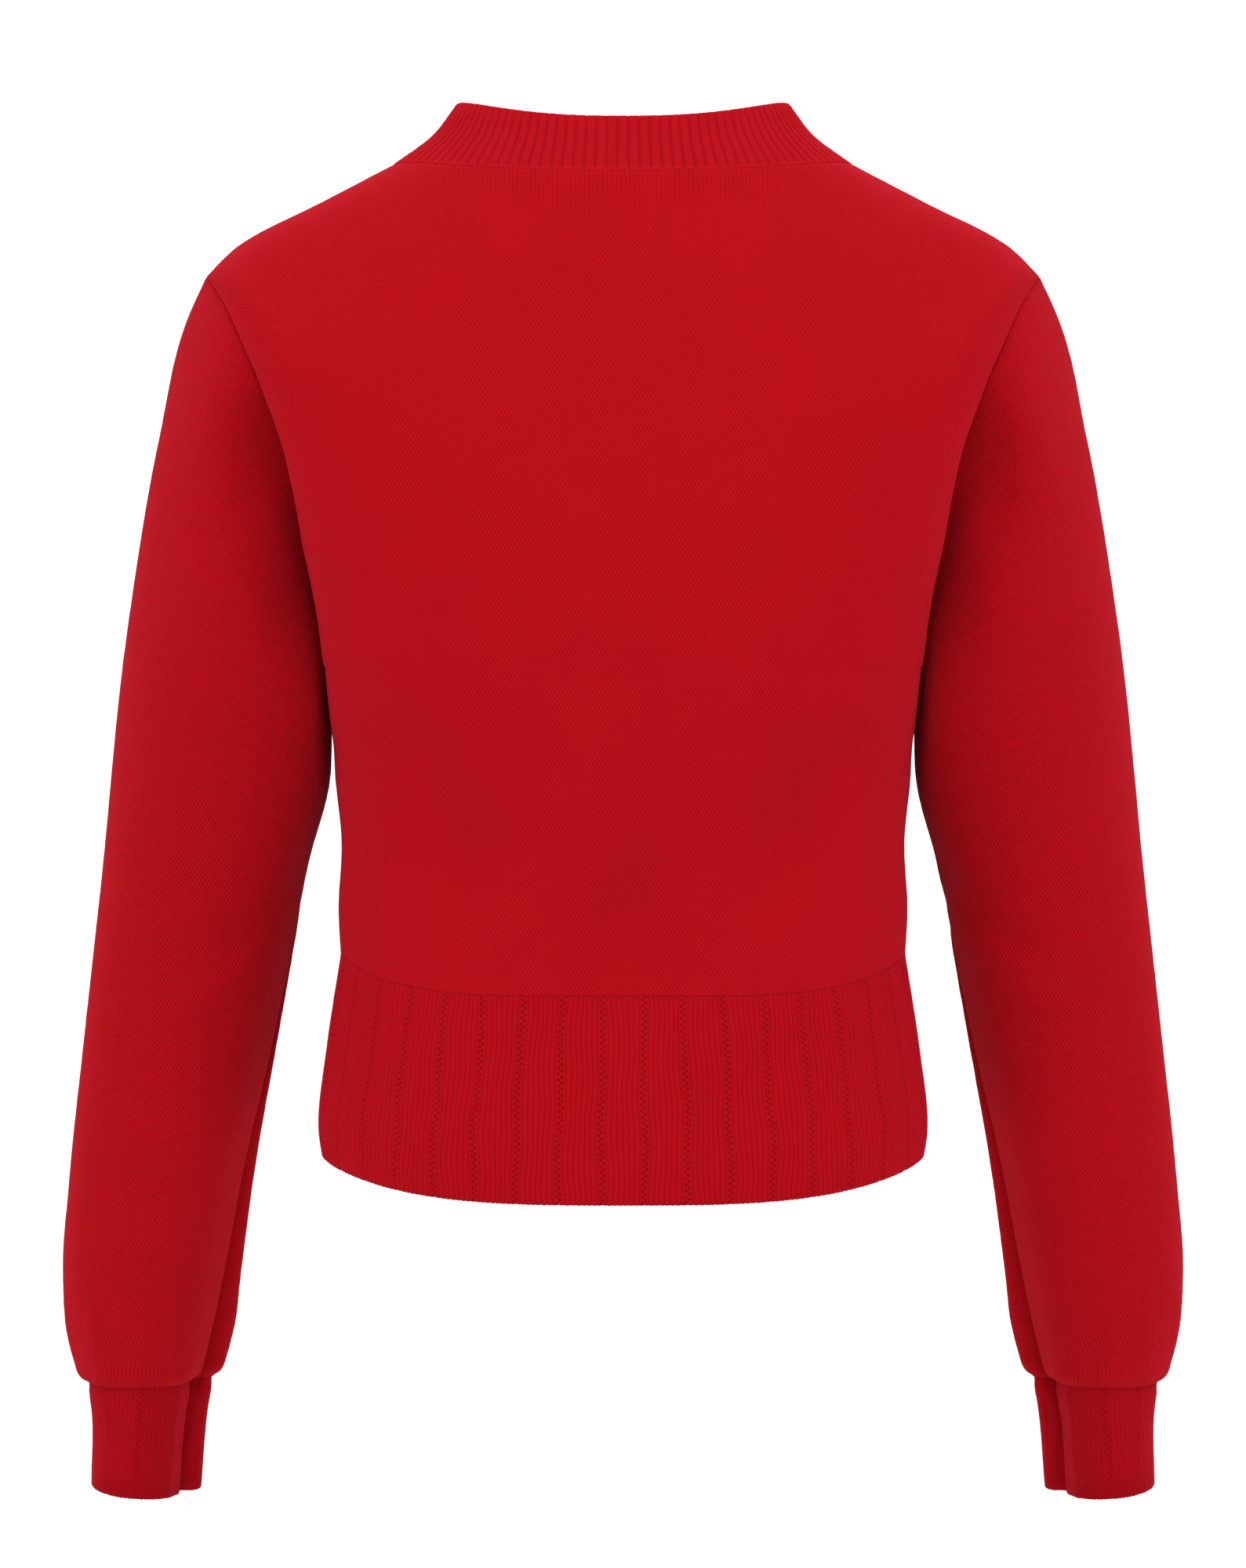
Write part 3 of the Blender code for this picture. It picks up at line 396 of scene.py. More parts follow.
def lengths_along(points, axis=0):
    """Distance of every point from the first one, along a line or along one axis of a grid."""
    steps = np.linalg.norm(np.diff(points, axis=axis), axis=-1)
    start = np.zeros_like(np.take(steps, [0], axis=axis))
    return np.concatenate([start, np.cumsum(steps, axis=axis)], axis=axis)


def steps_along(points, axis, closed):
    """The step at every point of a line or a grid, along one axis."""
    if closed:
        return (np.roll(points, -1, axis=axis) - np.roll(points, 1, axis=axis)) / 2
    return np.gradient(points, axis=axis)


def stations(splits):
    """Level numbers of the rows, with each level cut into its number of splits."""
    places = [0.0]
    for level, count in enumerate(splits[:-1]):
        for step in range(1, int(count) + 1):
            places.append(level + step / count)
    return np.array(places)


def softened(share):
    """Ease a share from nought to one, level at both ends."""
    share = np.clip(share, 0.0, 1.0)
    return share * share * (3.0 - 2.0 * share)


def unit(vectors):
    """The same directions, each with length one."""
    return vectors / np.maximum(np.linalg.norm(vectors, axis=-1, keepdims=True), 1e-12)


# ---------------------------------------------------------------------------- the torso
def torso_value(name):
    """One named column of the torso's table."""
    return table_column(TORSO_LEVELS, TORSO_COLUMNS, name)


def level_lengths():
    """Distance up the torso at each level, as the mean of its middle and its side."""
    side = np.stack([torso_value("seam_x"), torso_value("seam_z")], axis=1)
    middle = np.stack([torso_value("back_y"), torso_value("back_z")], axis=1)
    steps = np.linalg.norm(np.diff(side, axis=0), axis=1)
    steps = steps + np.linalg.norm(np.diff(middle, axis=0), axis=1)
    return np.concatenate([[0.0], np.cumsum(steps / 2)])


def armhole_points():
    """Named points round the left armhole: up its back, over the tip and down its front."""
    names = list(TORSO_LEVELS)[UNDERARM:SHOULDER_TIP + 1]
    back = [TORSO_LEVELS[name][:3] for name in names]
    front = [FRONT_ARMHOLE[name] for name in names[1:-1]]
    return np.array(back + front[::-1])


def armhole_curve(turns):
    """Points of the armhole at places counted in table rows from the underarm."""
    points = armhole_points()
    closed = np.concatenate([points[-3:], points, points[:4]])
    lengths = lengths_along(closed)
    return through(lengths, closed, at_rows(lengths, np.mod(turns, len(points)) + 3))


def shoulder_rows(places):
    """The shoulder seam, which bows a little between the tip and the neck."""
    rows = np.stack([torso_value(name)[SHOULDER_TIP:] for name in SEAM_COLUMNS], axis=1)
    lengths = lengths_along(rows)
    return through(lengths, rows, at_rows(lengths, places - SHOULDER_TIP))


def seam_rows(places, half):
    """The edge of the left half of a panel: side seam, armhole and shoulder seam."""
    lengths = level_lengths()
    along = at_rows(lengths, places)
    curves = [through(lengths, torso_value(name), along) for name in SEAM_COLUMNS]
    seam = np.stack(curves, axis=1)
    ridge = places >= SHOULDER_TIP
    seam[ridge] = shoulder_rows(places[ridge])
    below = places <= UNDERARM
    seam[below, 1] = np.interp(along[below], lengths, torso_value("seam_y"))
    inside = (places >= UNDERARM) & (places <= SHOULDER_TIP)
    turns = places[inside] - UNDERARM
    seam[inside] = armhole_curve(-turns if half == "front" else turns)
    return seam


def fold_rows(places, half, seam):
    """The crest of the fold beside the armhole, and how far each row turns in past it."""
    names = list(TORSO_LEVELS)
    rows = [names.index(name) for name in BACK_ARMHOLE_FOLD]
    fold = seam[:, :2].copy()
    tuck = np.zeros(len(places))
    if half == "front":
        return fold, tuck
    inside = (places >= rows[0]) & (places <= rows[-1])
    for axis, name in enumerate("xy"):
        values = table_column(BACK_ARMHOLE_FOLD, ARMHOLE_FOLD_COLUMNS, name)
        fold[inside, axis] = through(rows, values, places[inside])
    values = table_column(BACK_ARMHOLE_FOLD, ARMHOLE_FOLD_COLUMNS, "tuck")
    tuck[inside] = np.clip(through(rows, values, places[inside]), 0.0, 1.0)
    proud = softened(tuck * FOLD_START)[:, None]
    return seam[:, :2] + (fold - seam[:, :2]) * proud, tuck


def half_rows(middle_y, middle_z, fold, tuck, seam, rise, squareness, turn, share):
    """Rows of points, each from the middle of its panel to the seam."""
    tuck = np.asarray(tuck)[:, None]
    reach = 1.0 - TUCK_SHARE * tuck
    power = 2.0 / np.asarray(squareness)[:, None]
    last = np.radians(turn)[:, None]
    angle = np.clip(share / reach, 0.0, 1.0) * last
    left_over = np.cos(last) ** power
    x = fold[:, :1] * (np.sin(angle) / np.sin(last)) ** power
    depth = (np.cos(angle) ** power - left_over) / (1.0 - left_over)
    y = fold[:, 1:2] + (middle_y[:, None] - fold[:, 1:2]) * depth
    past = share > reach
    bend = (share - reach) / np.maximum(1.0 - reach, 1e-9) * TUCK_TURN
    inward = (1.0 - np.cos(bend)) / (1.0 - math.cos(TUCK_TURN))
    forward = np.sin(bend) / math.sin(TUCK_TURN)
    x = np.where(past, fold[:, :1] + (seam[:, :1] - fold[:, :1]) * inward, x)
    y = np.where(past, fold[:, 1:2] + (seam[:, 1:2] - fold[:, 1:2]) * forward, y)
    lift = np.sin(share * math.pi / 2) ** np.asarray(rise)[:, None]
    z = middle_z[:, None] + (seam[:, 2:3] - middle_z[:, None]) * lift
    return np.stack([x, y, z], axis=2)


def even_half_rows(rows_at, share):
    """Half rows whose points lie at the given shares of each row's length."""
    fine = (1.0 - np.cos(np.linspace(0.0, math.pi, EVEN_STEPS))) / 2
    lengths = lengths_along(rows_at(fine), 1)
    shares = np.broadcast_to(share, (len(lengths), np.shape(share)[-1]))
    even = np.stack([np.interp(at * line[-1], line, fine) for at, line in zip(shares, lengths)])
    return rows_at(even)


def whole_rows(halves, front):
    """Both halves of each row, from the right seam to the left, or back again at the front."""
    other = halves[:, :0:-1] * FLIP
    rows = np.concatenate([other, halves], axis=1)
    return rows[:, ::-1] if front else rows


def torso_panel(half, places):
    """Outer face of the back or front panel as rows of points."""
    lengths = level_lengths()
    value = curve_values(TORSO_LEVELS, TORSO_COLUMNS, lengths, at_rows(lengths, places))
    seam = seam_rows(places, half)
    fold, tuck = fold_rows(places, half, seam)
    share = np.linspace(0.0, 1.0, PANEL_COLUMNS // 2 + 1)
    halves = half_rows(
        value[f"{half}_y"], value[f"{half}_z"], fold, tuck, seam, value[f"{half}_rise"],
        value["squareness"], np.minimum(value["turn"], 90.0), share)
    return whole_rows(halves, half == "front")


# ---------------------------------------------------------------------- collar and hem
def plain_rows(value, half, rise, squareness, share):
    """Evenly spaced rows of a hem's or collar's half, which turn square to their sides."""
    nought = np.zeros(len(rise))
    side = np.stack([value["side_x"], nought, value["side_z"]], axis=1)
    rows_at = partial(
        half_rows, value[f"{half}_y"], value[f"{half}_z"], side[:, :2], nought, side,
        rise, nought + squareness, nought + 90.0)
    return whole_rows(even_half_rows(rows_at, share), half == "front")


def hem_panel(half, places, share):
    """Outer face of one half of the hem, from its bottom edge to the waist seam."""
    knots = table_column(HEM_LEVELS, HEM_COLUMNS, "back_z")
    value = curve_values(HEM_LEVELS, HEM_COLUMNS, knots, at_rows(knots, places))
    return plain_rows(value, half, value["rise"], HEM_SQUARENESS, share)


def collar_rings(places, share):
    """Outer face of the collar: closed rings from the neck seam up to the folded edge."""
    up = places[:, None] / (len(COLLAR_RINGS) - 1)
    fanned = share + COLLAR_FAN * up * share * (1.0 - share)
    value = curve_values(COLLAR_RINGS, COLLAR_COLUMNS, np.arange(len(COLLAR_RINGS)), places)
    rings = []
    for half, rise in (("back", COLLAR_BACK_RISE), ("front", COLLAR_FRONT_RISE)):
        rise = np.full(len(places), rise)
        rings.append(plain_rows(value, half, rise, COLLAR_SQUARENESS, fanned)[:, :-1])
    return np.concatenate(rings, axis=1)


# --------------------------------------------------------------------------- soft folds
def soft_fold(fold, across, up, lean):
    """How far one soft fold lifts places that are measured from its middle."""
    along = up * math.cos(lean) + across * math.sin(lean)
    aside = across * math.cos(lean) - up * math.sin(lean)
    away = (along / fold["length"]) ** 2 + (aside / fold["width"]) ** 2
    return fold["height"] * np.exp(-away)


def body_folds(points, table):
    """How far the soft folds of the back or the front lift each point."""
    lift = np.zeros(points.shape[:-1])
    for row in table.values():
        fold = dict(zip(FOLD_COLUMNS, row))
        across = points[..., 0] - fold["x"]
        up = points[..., 2] - fold["z"]
        lift += soft_fold(fold, across, up, math.radians(fold["lean"]))
    return lift


def sleeve_folds(points, side):
    """How far a sleeve's soft folds lift its points; the right sleeve's lie a little apart."""
    count = points.shape[1]
    turn = np.degrees(np.linspace(0.0, 2 * math.pi, count, endpoint=False))[None, :]
    radius = np.linalg.norm(points - points.mean(axis=1, keepdims=True), axis=2).mean(axis=1)
    lift = np.zeros(points.shape[:2])
    for place, row in enumerate(SLEEVE_FOLDS.values()):
        fold = dict(zip(SLEEVE_FOLD_COLUMNS, row))
        apart = 0.0 if side == "left" else math.sin(place * RIGHT_FOLD_STEP)
        lean = math.radians(fold["lean"] + RIGHT_FOLD_LEAN * apart)
        middle = fold["round"] + RIGHT_FOLD_TURN * apart
        across = np.radians((turn - middle + 180.0) % 360.0 - 180.0) * radius[:, None]
        up = points[..., 2] - fold["z"] - RIGHT_FOLD_RISE * apart
        lift += soft_fold(fold, across, up, lean)
    return lift


# ------------------------------------------------------------------------------ sleeves
def arm_ring(value, angles):
    """One ring of a sleeve or cuff: a soft oval with a crease on its inner side."""
    power = 2.0 / ARM_SQUARENESS
    half_x = (value["outer_x"] - value["inner_x"]) / 2
    half_y = (value["back_y"] - value["front_y"]) / 2
    across = half_x * np.sign(np.cos(angles)) * np.abs(np.cos(angles)) ** power
    along = half_y * np.sign(np.sin(angles)) * np.abs(np.sin(angles)) ** power
    soft = np.exp(-((angles - CREASE_TURN) / CREASE_WIDTH) ** 2)
    middle = math.radians(SHARP_CREASE_TURN[0] + SHARP_CREASE_TURN[1] * value["turn"])
    sharp = np.exp(-((angles - middle) / SHARP_CREASE_WIDTH) ** 2)
    depth = value["crease"] * (SOFT_CREASE * soft + SHARP_CREASE * sharp)
    across = across - depth * math.cos(CREASE_TURN)
    along = along - depth * math.sin(CREASE_TURN)
    across = across + value["turn"] * along * (1.0 - np.cos(angles)) / 2
    fit = (across - across.min()) / (across.max() - across.min())
    x = value["inner_x"] + fit * (value["outer_x"] - value["inner_x"])
    y = (value["back_y"] + value["front_y"]) / 2 + along
    middle_z = (value["outer_z"] + value["inner_z"]) / 2
    z = middle_z + (value["outer_z"] - value["inner_z"]) / 2 * np.cos(angles)
    return np.stack([x, y, z], axis=1)


def table_rings(table, angles):
    """The rings of a sleeve or cuff table, each from its row's sizes."""
    return [arm_ring(dict(zip(ARM_COLUMNS, row)), angles) for row in table.values()]


def sleeve_rings(loop, splits):
    """Outer face of the left sleeve, from the armhole loop down to the cuff seam."""
    angles = np.linspace(0.0, 2 * math.pi, len(loop), endpoint=False)
    under = np.clip(-np.cos(angles), 0.0, 1.0)
    start = np.zeros((len(loop), 3))
    start[:, 0] = CAP_START_OUT + (CAP_START_UNDER - CAP_START_OUT) * under
    start[:, 2] = -CAP_START_DROP - CAP_END_DROP * np.cos(angles) ** 2
    keys = np.array([loop, loop + start] + table_rings(SLEEVE_RINGS, angles))
    steps = np.linalg.norm(np.diff(keys, axis=0), axis=2).mean(axis=1)
    lengths = np.concatenate([[0.0], np.cumsum(steps)])
    along = at_rows(lengths, stations(splits))
    flat = through(lengths, keys.reshape(len(keys), -1), along)
    return flat.reshape(len(along), len(loop), 3)


def cuff_rings(places, angles):
    """Outer face of the left cuff, from its seam down."""
    keys = np.array(table_rings(CUFF_RINGS, angles))
    knots = table_column(CUFF_RINGS, ARM_COLUMNS, "outer_z")
    along = at_rows(knots, places)
    flat = through(-knots, keys.reshape(len(keys), -1), -along)
    return flat.reshape(len(along), len(angles), 3)


# ----------------------------------------------------------------------- knitted shells
def grid_normals(points, closed):
    """Outward normals: up the rows crossed with along the columns."""
    return unit(np.cross(steps_along(points, 0, False), steps_along(points, 1, closed)))


# The edges of a grid that can be sewn: seam, axis of the grid, edge and the line beside it.
SEWN_EDGES = (
    ("first row", 0, 0, 1),
    ("last row", 0, -1, -2),
    ("sides", 1, 0, 1),
    ("sides", 1, -1, -2),
)


def line_of(values, axis, place):
    """One row or column of a grid, as a view of it."""
    return np.moveaxis(values, axis, 0)[place]


def roll_edge(shell, axis, edge, beside):
    """Roll a sewn edge in, over the width of a seam, so that a groove shows at the seam."""
    first = line_of(shell["points"], axis, edge)
    step = np.linalg.norm(first - line_of(shell["points"], axis, beside), axis=-1)
    share = SEAM_ROLL_WIDTH / np.maximum(step, 1e-6)
    share = np.clip(share, LEAST_ROLL_SHARE, MOST_ROLL_SHARE)
    for name in ("points", "normals", "relief", "knit", "edge"):
        values = shell[name]
        part = np.append(share, share[:1]) if values.shape[1 - axis] > len(share) else share
        part = part[:, None] if values.ndim == 3 else part
        line = line_of(values, axis, edge) * (1.0 - part) + line_of(values, axis, beside) * part
        spot = 1 if edge == 0 else values.shape[axis] - 1
        shell[name] = np.insert(values, spot, line, axis=axis)
    shell["normals"] = unit(shell["normals"])


def edge_shift(edge, inner, normals, closed):
    """Half the seam gap, from the edge into its piece and along the cloth."""
    across = np.cross(unit(steps_along(edge, 0, closed)), normals)
    inward = np.sum(across * (inner - edge), axis=1, keepdims=True)
    return unit(across) * np.sign(inward) * SEAM_GAP / 2


def open_seams(shell):
    """Draw a piece's sewn edges back by half the seam gap, and roll them in."""
    points = shell["points"]
    moved = np.zeros_like(points)
    sewn = [row for row in SEWN_EDGES if row[0] in shell["seams"]]
    for name, axis, edge, beside in sewn:
        line_of(moved, axis, edge)[:] += edge_shift(
            line_of(points, axis, edge), line_of(points, axis, beside),
            line_of(shell["normals"], axis, edge), shell["closed"] and axis == 0)
    for row, column, shift in shell["set_shifts"]:
        moved[row, column] = shift
    shell["points"] = points + moved
    for name, axis, edge, beside in sewn:
        roll_edge(shell, axis, edge, beside)
        line_of(shell["relief"], axis, edge)[:] -= shell["seams"][name]


def rolled_edge(shell, row, beside):
    """A half round from the outer face over a free edge to the inner face."""
    points = shell["points"]
    normals = shell["normals"][row]
    wall = shell["wall"]
    beyond = unit(points[row] - points[beside])
    beyond = unit(beyond - normals * np.sum(beyond * normals, axis=1, keepdims=True))
    middle = points[row] - normals * wall / 2
    lines = []
    for step in range(1, ROLLED_EDGE_STEPS):
        turn = math.pi * step / ROLLED_EDGE_STEPS
        way = normals * math.cos(turn) + beyond * math.sin(turn)
        lines.append(middle + way * wall / 2 + way * shell["relief"][row][:, None])
    return lines


def shell_section(shell):
    """Lines of points all round a shell's wall, and the outer row that each belongs to."""
    points = shell["points"]
    relief = shell["relief"][..., None]
    rows = len(points)
    section = list(points + shell["normals"] * relief)
    source = list(range(rows))
    if "last row" not in shell["seams"]:
        section += rolled_edge(shell, -1, -2)
        source += [rows - 1] * (ROLLED_EDGE_STEPS - 1)
    depth = shell["wall"] - shell["follow"] * np.minimum(relief, 0.0)
    section += list((points - shell["normals"] * depth)[::-1])
    source += list(range(rows))[::-1]
    if "first row" not in shell["seams"]:
        section += rolled_edge(shell, 0, 1)[::-1]
        source += [0] * (ROLLED_EDGE_STEPS - 1)
    return np.array(section), np.array(source)


def side_faces(shell):
    """The faces that close the wall of an open shell along its two sides."""
    rows, columns = shell["points"].shape[:2]
    rounded = 0 if "last row" in shell["seams"] else ROLLED_EDGE_STEPS - 1
    faces = []
    for edge, turn in ((0, 1), (columns - 1, -1)):
        for row in range(rows - 1):
            inner = 2 * rows - 1 + rounded - row
            ring = [row, inner, inner - 1, row + 1]
            faces.append([spot * columns + edge for spot in ring[::turn]])
    return faces


def knitted_shell(shell):
    """Make a shell's closed mesh: outer face, edges and inner face, with its two maps."""
    section, source = shell_section(shell)
    count, columns = section.shape[:2]
    line = np.arange(count)[:, None]
    column = np.arange(columns if shell["closed"] else columns - 1)[None, :]
    after = (line + 1) % count
    beside = (column + 1) % columns
    corners = ((line, column), (after, column), (after, beside), (line, beside))
    quads = np.stack([down * columns + across for down, across in corners], axis=2)
    faces = quads.reshape(-1, 4).tolist()
    if not shell["closed"]:
        faces += side_faces(shell)
    mesh = bpy.data.meshes.new(shell["name"])
    mesh.from_pydata(section.reshape(-1, 3).tolist(), [], faces)
    for name in ("knit", "edge"):
        values = shell[name][source]
        corners = ((line, column), (after, column), (after, column + 1), (line, column + 1))
        places = np.stack([values[down, across] for down, across in corners], axis=2)
        places = places.reshape(-1, 2)
        spread = np.zeros((len(mesh.loops), 2))
        spread[:len(places)] = places
        mesh.uv_layers.new(name=name).data.foreach_set("uv", spread.ravel())
    mesh.shade_smooth()
    mesh.validate()
    mesh.update()
    piece = bpy.data.objects.new(f"{shell['name']}_knit", mesh)
    bpy.context.scene.collection.objects.link(piece)
    return piece


# ----------------------------------------------------------------------------- pieces
def new_shell(name, points, wall, closed, seams, middle):
    """One shell before it gets its wall: its grid, outward normals and two knit maps."""
    whole = np.concatenate([points, points[:, :1]], axis=1) if closed else points
    up = lengths_along(whole)
    across = lengths_along(whole, 1)
    across = across - across[:, middle:middle + 1]
    reach = np.abs(across[:, -1:]) if closed else np.maximum(across[:, -1:], -across[:, :1])
    knit = np.stack([across, up], axis=2)
    edge = np.stack([reach - np.abs(across), up[-1:] - up], axis=2)
    return {
        "name": name, "points": points, "wall": wall, "closed": closed, "seams": seams,
        "relief": np.zeros(points.shape[:2]), "normals": grid_normals(points, closed),
        "knit": knit, "edge": edge, "follow": 0.0, "set_shifts": []}


def level_rim(shell, row):
    """Turn an edge's wall level, so that it lies flat against the next piece."""
    shell["normals"][row] = unit(shell["normals"][row] * LEVEL)


def mirrored(points):
    """The right-hand twin of a closed grid, with its columns turned to keep it outward."""
    return np.roll(points[:, ::-1] * FLIP, 1, axis=1)


def armhole_frame(loop):
    """Directions round the armhole: out from its middle in its plane, and along the arm."""
    along = unit(steps_along(loop, 0, True))
    centre = loop.mean(axis=0)
    arm = unit(np.cross(loop - centre, along).sum(axis=0))
    if arm[0] < 0:
        arm = -arm
    out = np.cross(along, arm)
    outward = np.sum(out * (loop - centre), axis=1, keepdims=True)
    out = unit(out * np.sign(outward))
    side = np.cross(along, out)
    side = side * np.sign(side @ arm)[:, None]
    return along, out, unit(side)


def lay_folds(shell, reach):
    """Lift a panel or its hem by the soft folds that run over both, but not by its sides."""
    table = BACK_FOLDS if shell["name"].endswith("back") else FRONT_FOLDS
    lift = body_folds(shell["points"], table)
    lift = lift * softened(shell["edge"][..., 0] / SEAM_FADE) * reach
    shell["points"] = shell["points"] + unit(shell["normals"] * LEVEL) * lift[..., None]
    shell["normals"] = grid_normals(shell["points"], False)


def ease_rows(points, tip):
    """Ease the bend of a panel's rows by the shoulder tip, but not at its sewn edges."""
    rows, columns = points.shape[:2]
    by_row = np.exp(-((np.arange(rows) - tip) / EASED_ROWS) ** 2)
    from_side = np.minimum(np.arange(columns), np.arange(columns)[::-1])
    share = by_row[1:-1, None, None] * softened(from_side / EASED_COLUMNS)[:, None] / 2
    for _ in range(EASING_PASSES):
        points[1:-1] += ((points[2:] + points[:-2]) / 2 - points[1:-1]) * share


def torso_shells():
    """The back and front panels, the armhole between them and its first and last rows."""
    places = stations(torso_value("splits") * ROWS_PER_SPLIT)
    first = int(np.argmin(np.abs(places - UNDERARM)))
    last = int(np.argmin(np.abs(places - SHOULDER_TIP)))
    back = torso_panel("back", places)
    front = torso_panel("front", places)
    ease_rows(back, last)
    ease_rows(front, last)
    loop = np.concatenate([back[first:last + 1, -1][::-1], front[first:last + 1, 0][1:-1]])
    seams = {"first row": WAIST_ROLL, "last row": NECK_ROLL, "sides": SIDE_ROLL}
    shells = {}
    for name, points in (("back", back), ("front", front)):
        shell = new_shell(name, points, BODY_WALL, False, seams, PANEL_COLUMNS // 2)
        lay_folds(shell, softened(shell["edge"][..., 1] / SEAM_FADE))
        shells[name] = shell
    return shells, loop, first, last


def share_side_normals(shells):
    """Give the back and front one wall direction along their side and shoulder seams."""
    for ends in ((0, -1), (-1, 0)):
        mean = unit(shells["back"]["normals"][:, ends[0]] + shells["front"]["normals"][:, ends[1]])
        shells["back"]["normals"][:, ends[0]] = mean
        shells["front"]["normals"][:, ends[1]] = mean


def line_up_armholes(shells, loop, first, last):
    """Set how the panels' walls and gaps run along both armholes."""
    along, out, side = armhole_frame(loop)
    count = last - first
    for row in range(first, last + 1):
        on_back = last - row
        on_front = (count + row - first) % len(loop)
        for name, place, sign in (("back", on_back, 1.0), ("front", on_front, -1.0)):
            shift = -side[place] * SEAM_GAP / 2
            if row in (first, last):
                apart = along[place] * np.sign(along[place][1]) * sign
                shift = shift + apart * SEAM_GAP / 2
            left = -1 if name == "back" else 0
            right = 0 if name == "back" else -1
            shell = shells[name]
            shell["normals"][row, left] = out[place]
            shell["normals"][row, right] = out[place] * FLIP
            shell["set_shifts"] += [(row, left, shift), (row, right, shift * FLIP)]
    return out, side


def sleeve_shells(loop, out, side):
    """Both sleeves, whose first rings lie on the armholes and whose seam runs underneath."""
    splits = np.append(CAP_SPLITS, table_column(SLEEVE_RINGS, ARM_COLUMNS, "splits"))
    plain = sleeve_rings(loop, np.append(FIRST_SLEEVE_ROWS, splits * SLEEVE_ROWS_PER_SPLIT))
    normals = grid_normals(plain, True)
    row = np.arange(len(plain))
    ends = softened(row / ARMHOLE_FADE_ROWS) * softened(row[::-1] / CUFF_FADE_ROWS)
    shells = []
    for name in ("left", "right"):
        points = plain + normals * (sleeve_folds(plain, name) * ends[:, None])[..., None]
        first_out, first_side = out, side
        if name == "right":
            points = mirrored(points)
            first_out = np.roll(out[::-1] * FLIP, 1, axis=0)
            first_side = np.roll(side[::-1] * FLIP, 1, axis=0)
        under = points.shape[1] // 2
        points = np.roll(points, -under, axis=1)
        first_out = np.roll(first_out, -under, axis=0)
        first_side = np.roll(first_side, -under, axis=0)
        shell = new_shell(
            f"sleeve_{name}", points, BODY_WALL, True,
            {"first row": SIDE_ROLL, "last row": CUFF_ROLL}, under)
        total = shell["knit"][-1:, :, 1]
        shell["knit"][..., 1] = total - shell["knit"][..., 1]
        shell["normals"][0] = first_out
        level_rim(shell, -1)
        shell["set_shifts"] = [
            (0, column, first_side[column] * SEAM_GAP / 2) for column in range(len(loop))]
        to_cuff = shell["knit"][:, :-1, 1]
        puff = CUFF_PUFF * np.exp(-((to_cuff - CUFF_PUFF_UP) / CUFF_PUFF_WIDTH) ** 2)
        shell["relief"] += puff - CUFF_TUCK * np.exp(-(to_cuff / TUCK_ABOVE) ** 2)
        shells.append(shell)
    return shells


def wandered(shell, repeats):
    """Let the wales of a band wander a little to each side on their way up."""
    up = shell["knit"][..., 1] * 2 * math.pi
    turn = repeats[None, :] * 2 * math.pi / 3
    sway = np.sin(up / LONG_SWAY + turn) + 0.5 * np.sin(up / SHORT_SWAY - 2 * turn)
    return repeats[None, :] + BAND_SWAY * sway


def wale_relief(repeats):
    """Grooves between the wales of a band, and the wider groove of each eyelet column."""
    from_eyelet = (repeats + 0.5) % 1.0
    from_eyelet = np.minimum(from_eyelet, 1.0 - from_eyelet)
    wale = (repeats * WALES_PER_REPEAT + 0.5) % 1.0 - 0.5
    low, high = EYELET_BORDER
    groove = np.exp(-(wale / WALE_GROOVE_WIDTH) ** 2) * softened((from_eyelet - low) / (high - low))
    sunk = np.exp(-(from_eyelet / EYELET_GROOVE_WIDTH) ** 2)
    return -WALE_GROOVE * groove - EYELET_GROOVE * sunk


def band_repeats(shell, repeats):
    """Count a band's knit map in eyelet repeats across, and set its ribs."""
    repeats = wandered(shell, repeats)
    shell["knit"][..., 0] = repeats
    shell["relief"] += wale_relief(repeats[:, :shell["points"].shape[1]])
    shell["follow"] = BAND_FOLLOW


def hem_shells():
    """The two halves of the hem, ribbed, with a column of eyelets in each repeat."""
    half_repeats = HEM_EYELET_COLUMNS // 2
    steps = half_repeats * WALES_PER_REPEAT * WALE_STEPS
    share = np.linspace(0.0, 1.0, steps + 1)
    rest = np.linspace(HEM_START[1], len(HEM_LEVELS) - 1.0, HEM_ROWS)
    places = np.append(HEM_START[0], rest)
    repeats = np.linspace(-half_repeats, half_repeats, 2 * steps + 1)
    shells = []
    for half in ("back", "front"):
        points = hem_panel(half, places, share)
        seams = {"last row": WAIST_ROLL, "sides": SIDE_ROLL}
        shell = new_shell(f"hem_{half}", points, BAND_WALL, False, seams, steps)
        lay_folds(shell, 1.0)
        level_rim(shell, -1)
        band_repeats(shell, repeats)
        shell["relief"] *= softened(shell["edge"][..., 1] / HEM_RIB_FADE)
        shells.append(shell)
    return shells


def cuff_shells():
    """Both cuffs, each a ribbed tube below its sleeve."""
    steps = CUFF_EYELET_COLUMNS * WALES_PER_REPEAT * WALE_STEPS
    angles = np.linspace(0.0, 2 * math.pi, steps, endpoint=False)
    left = cuff_rings(np.linspace(0.0, len(CUFF_RINGS) - 1 - CUFF_EDGE, CUFF_ROWS), angles)
    repeats = np.linspace(0.0, CUFF_EYELET_COLUMNS, steps + 1)
    shells = []
    for name, points in (("cuff_left", left), ("cuff_right", mirrored(left))):
        shell = new_shell(name, points, BAND_WALL, True, {"first row": CUFF_ROLL}, 0)
        level_rim(shell, 0)
        band_repeats(shell, repeats)
        shell["relief"] -= CUFF_TUCK * np.exp(-(shell["knit"][:, :-1, 1] / TUCK_BELOW) ** 2)
        shells.append(shell)
    return shells


def row_shares(row):
    """How far along its row each point lies, from nought to one."""
    lengths = lengths_along(row)
    return lengths / lengths[-1]


def spread_along(values, shares, places):
    """Values known at some shares of a row, read at other places along it."""
    return np.stack([np.interp(places, shares, axis) for axis in values.T], axis=1)


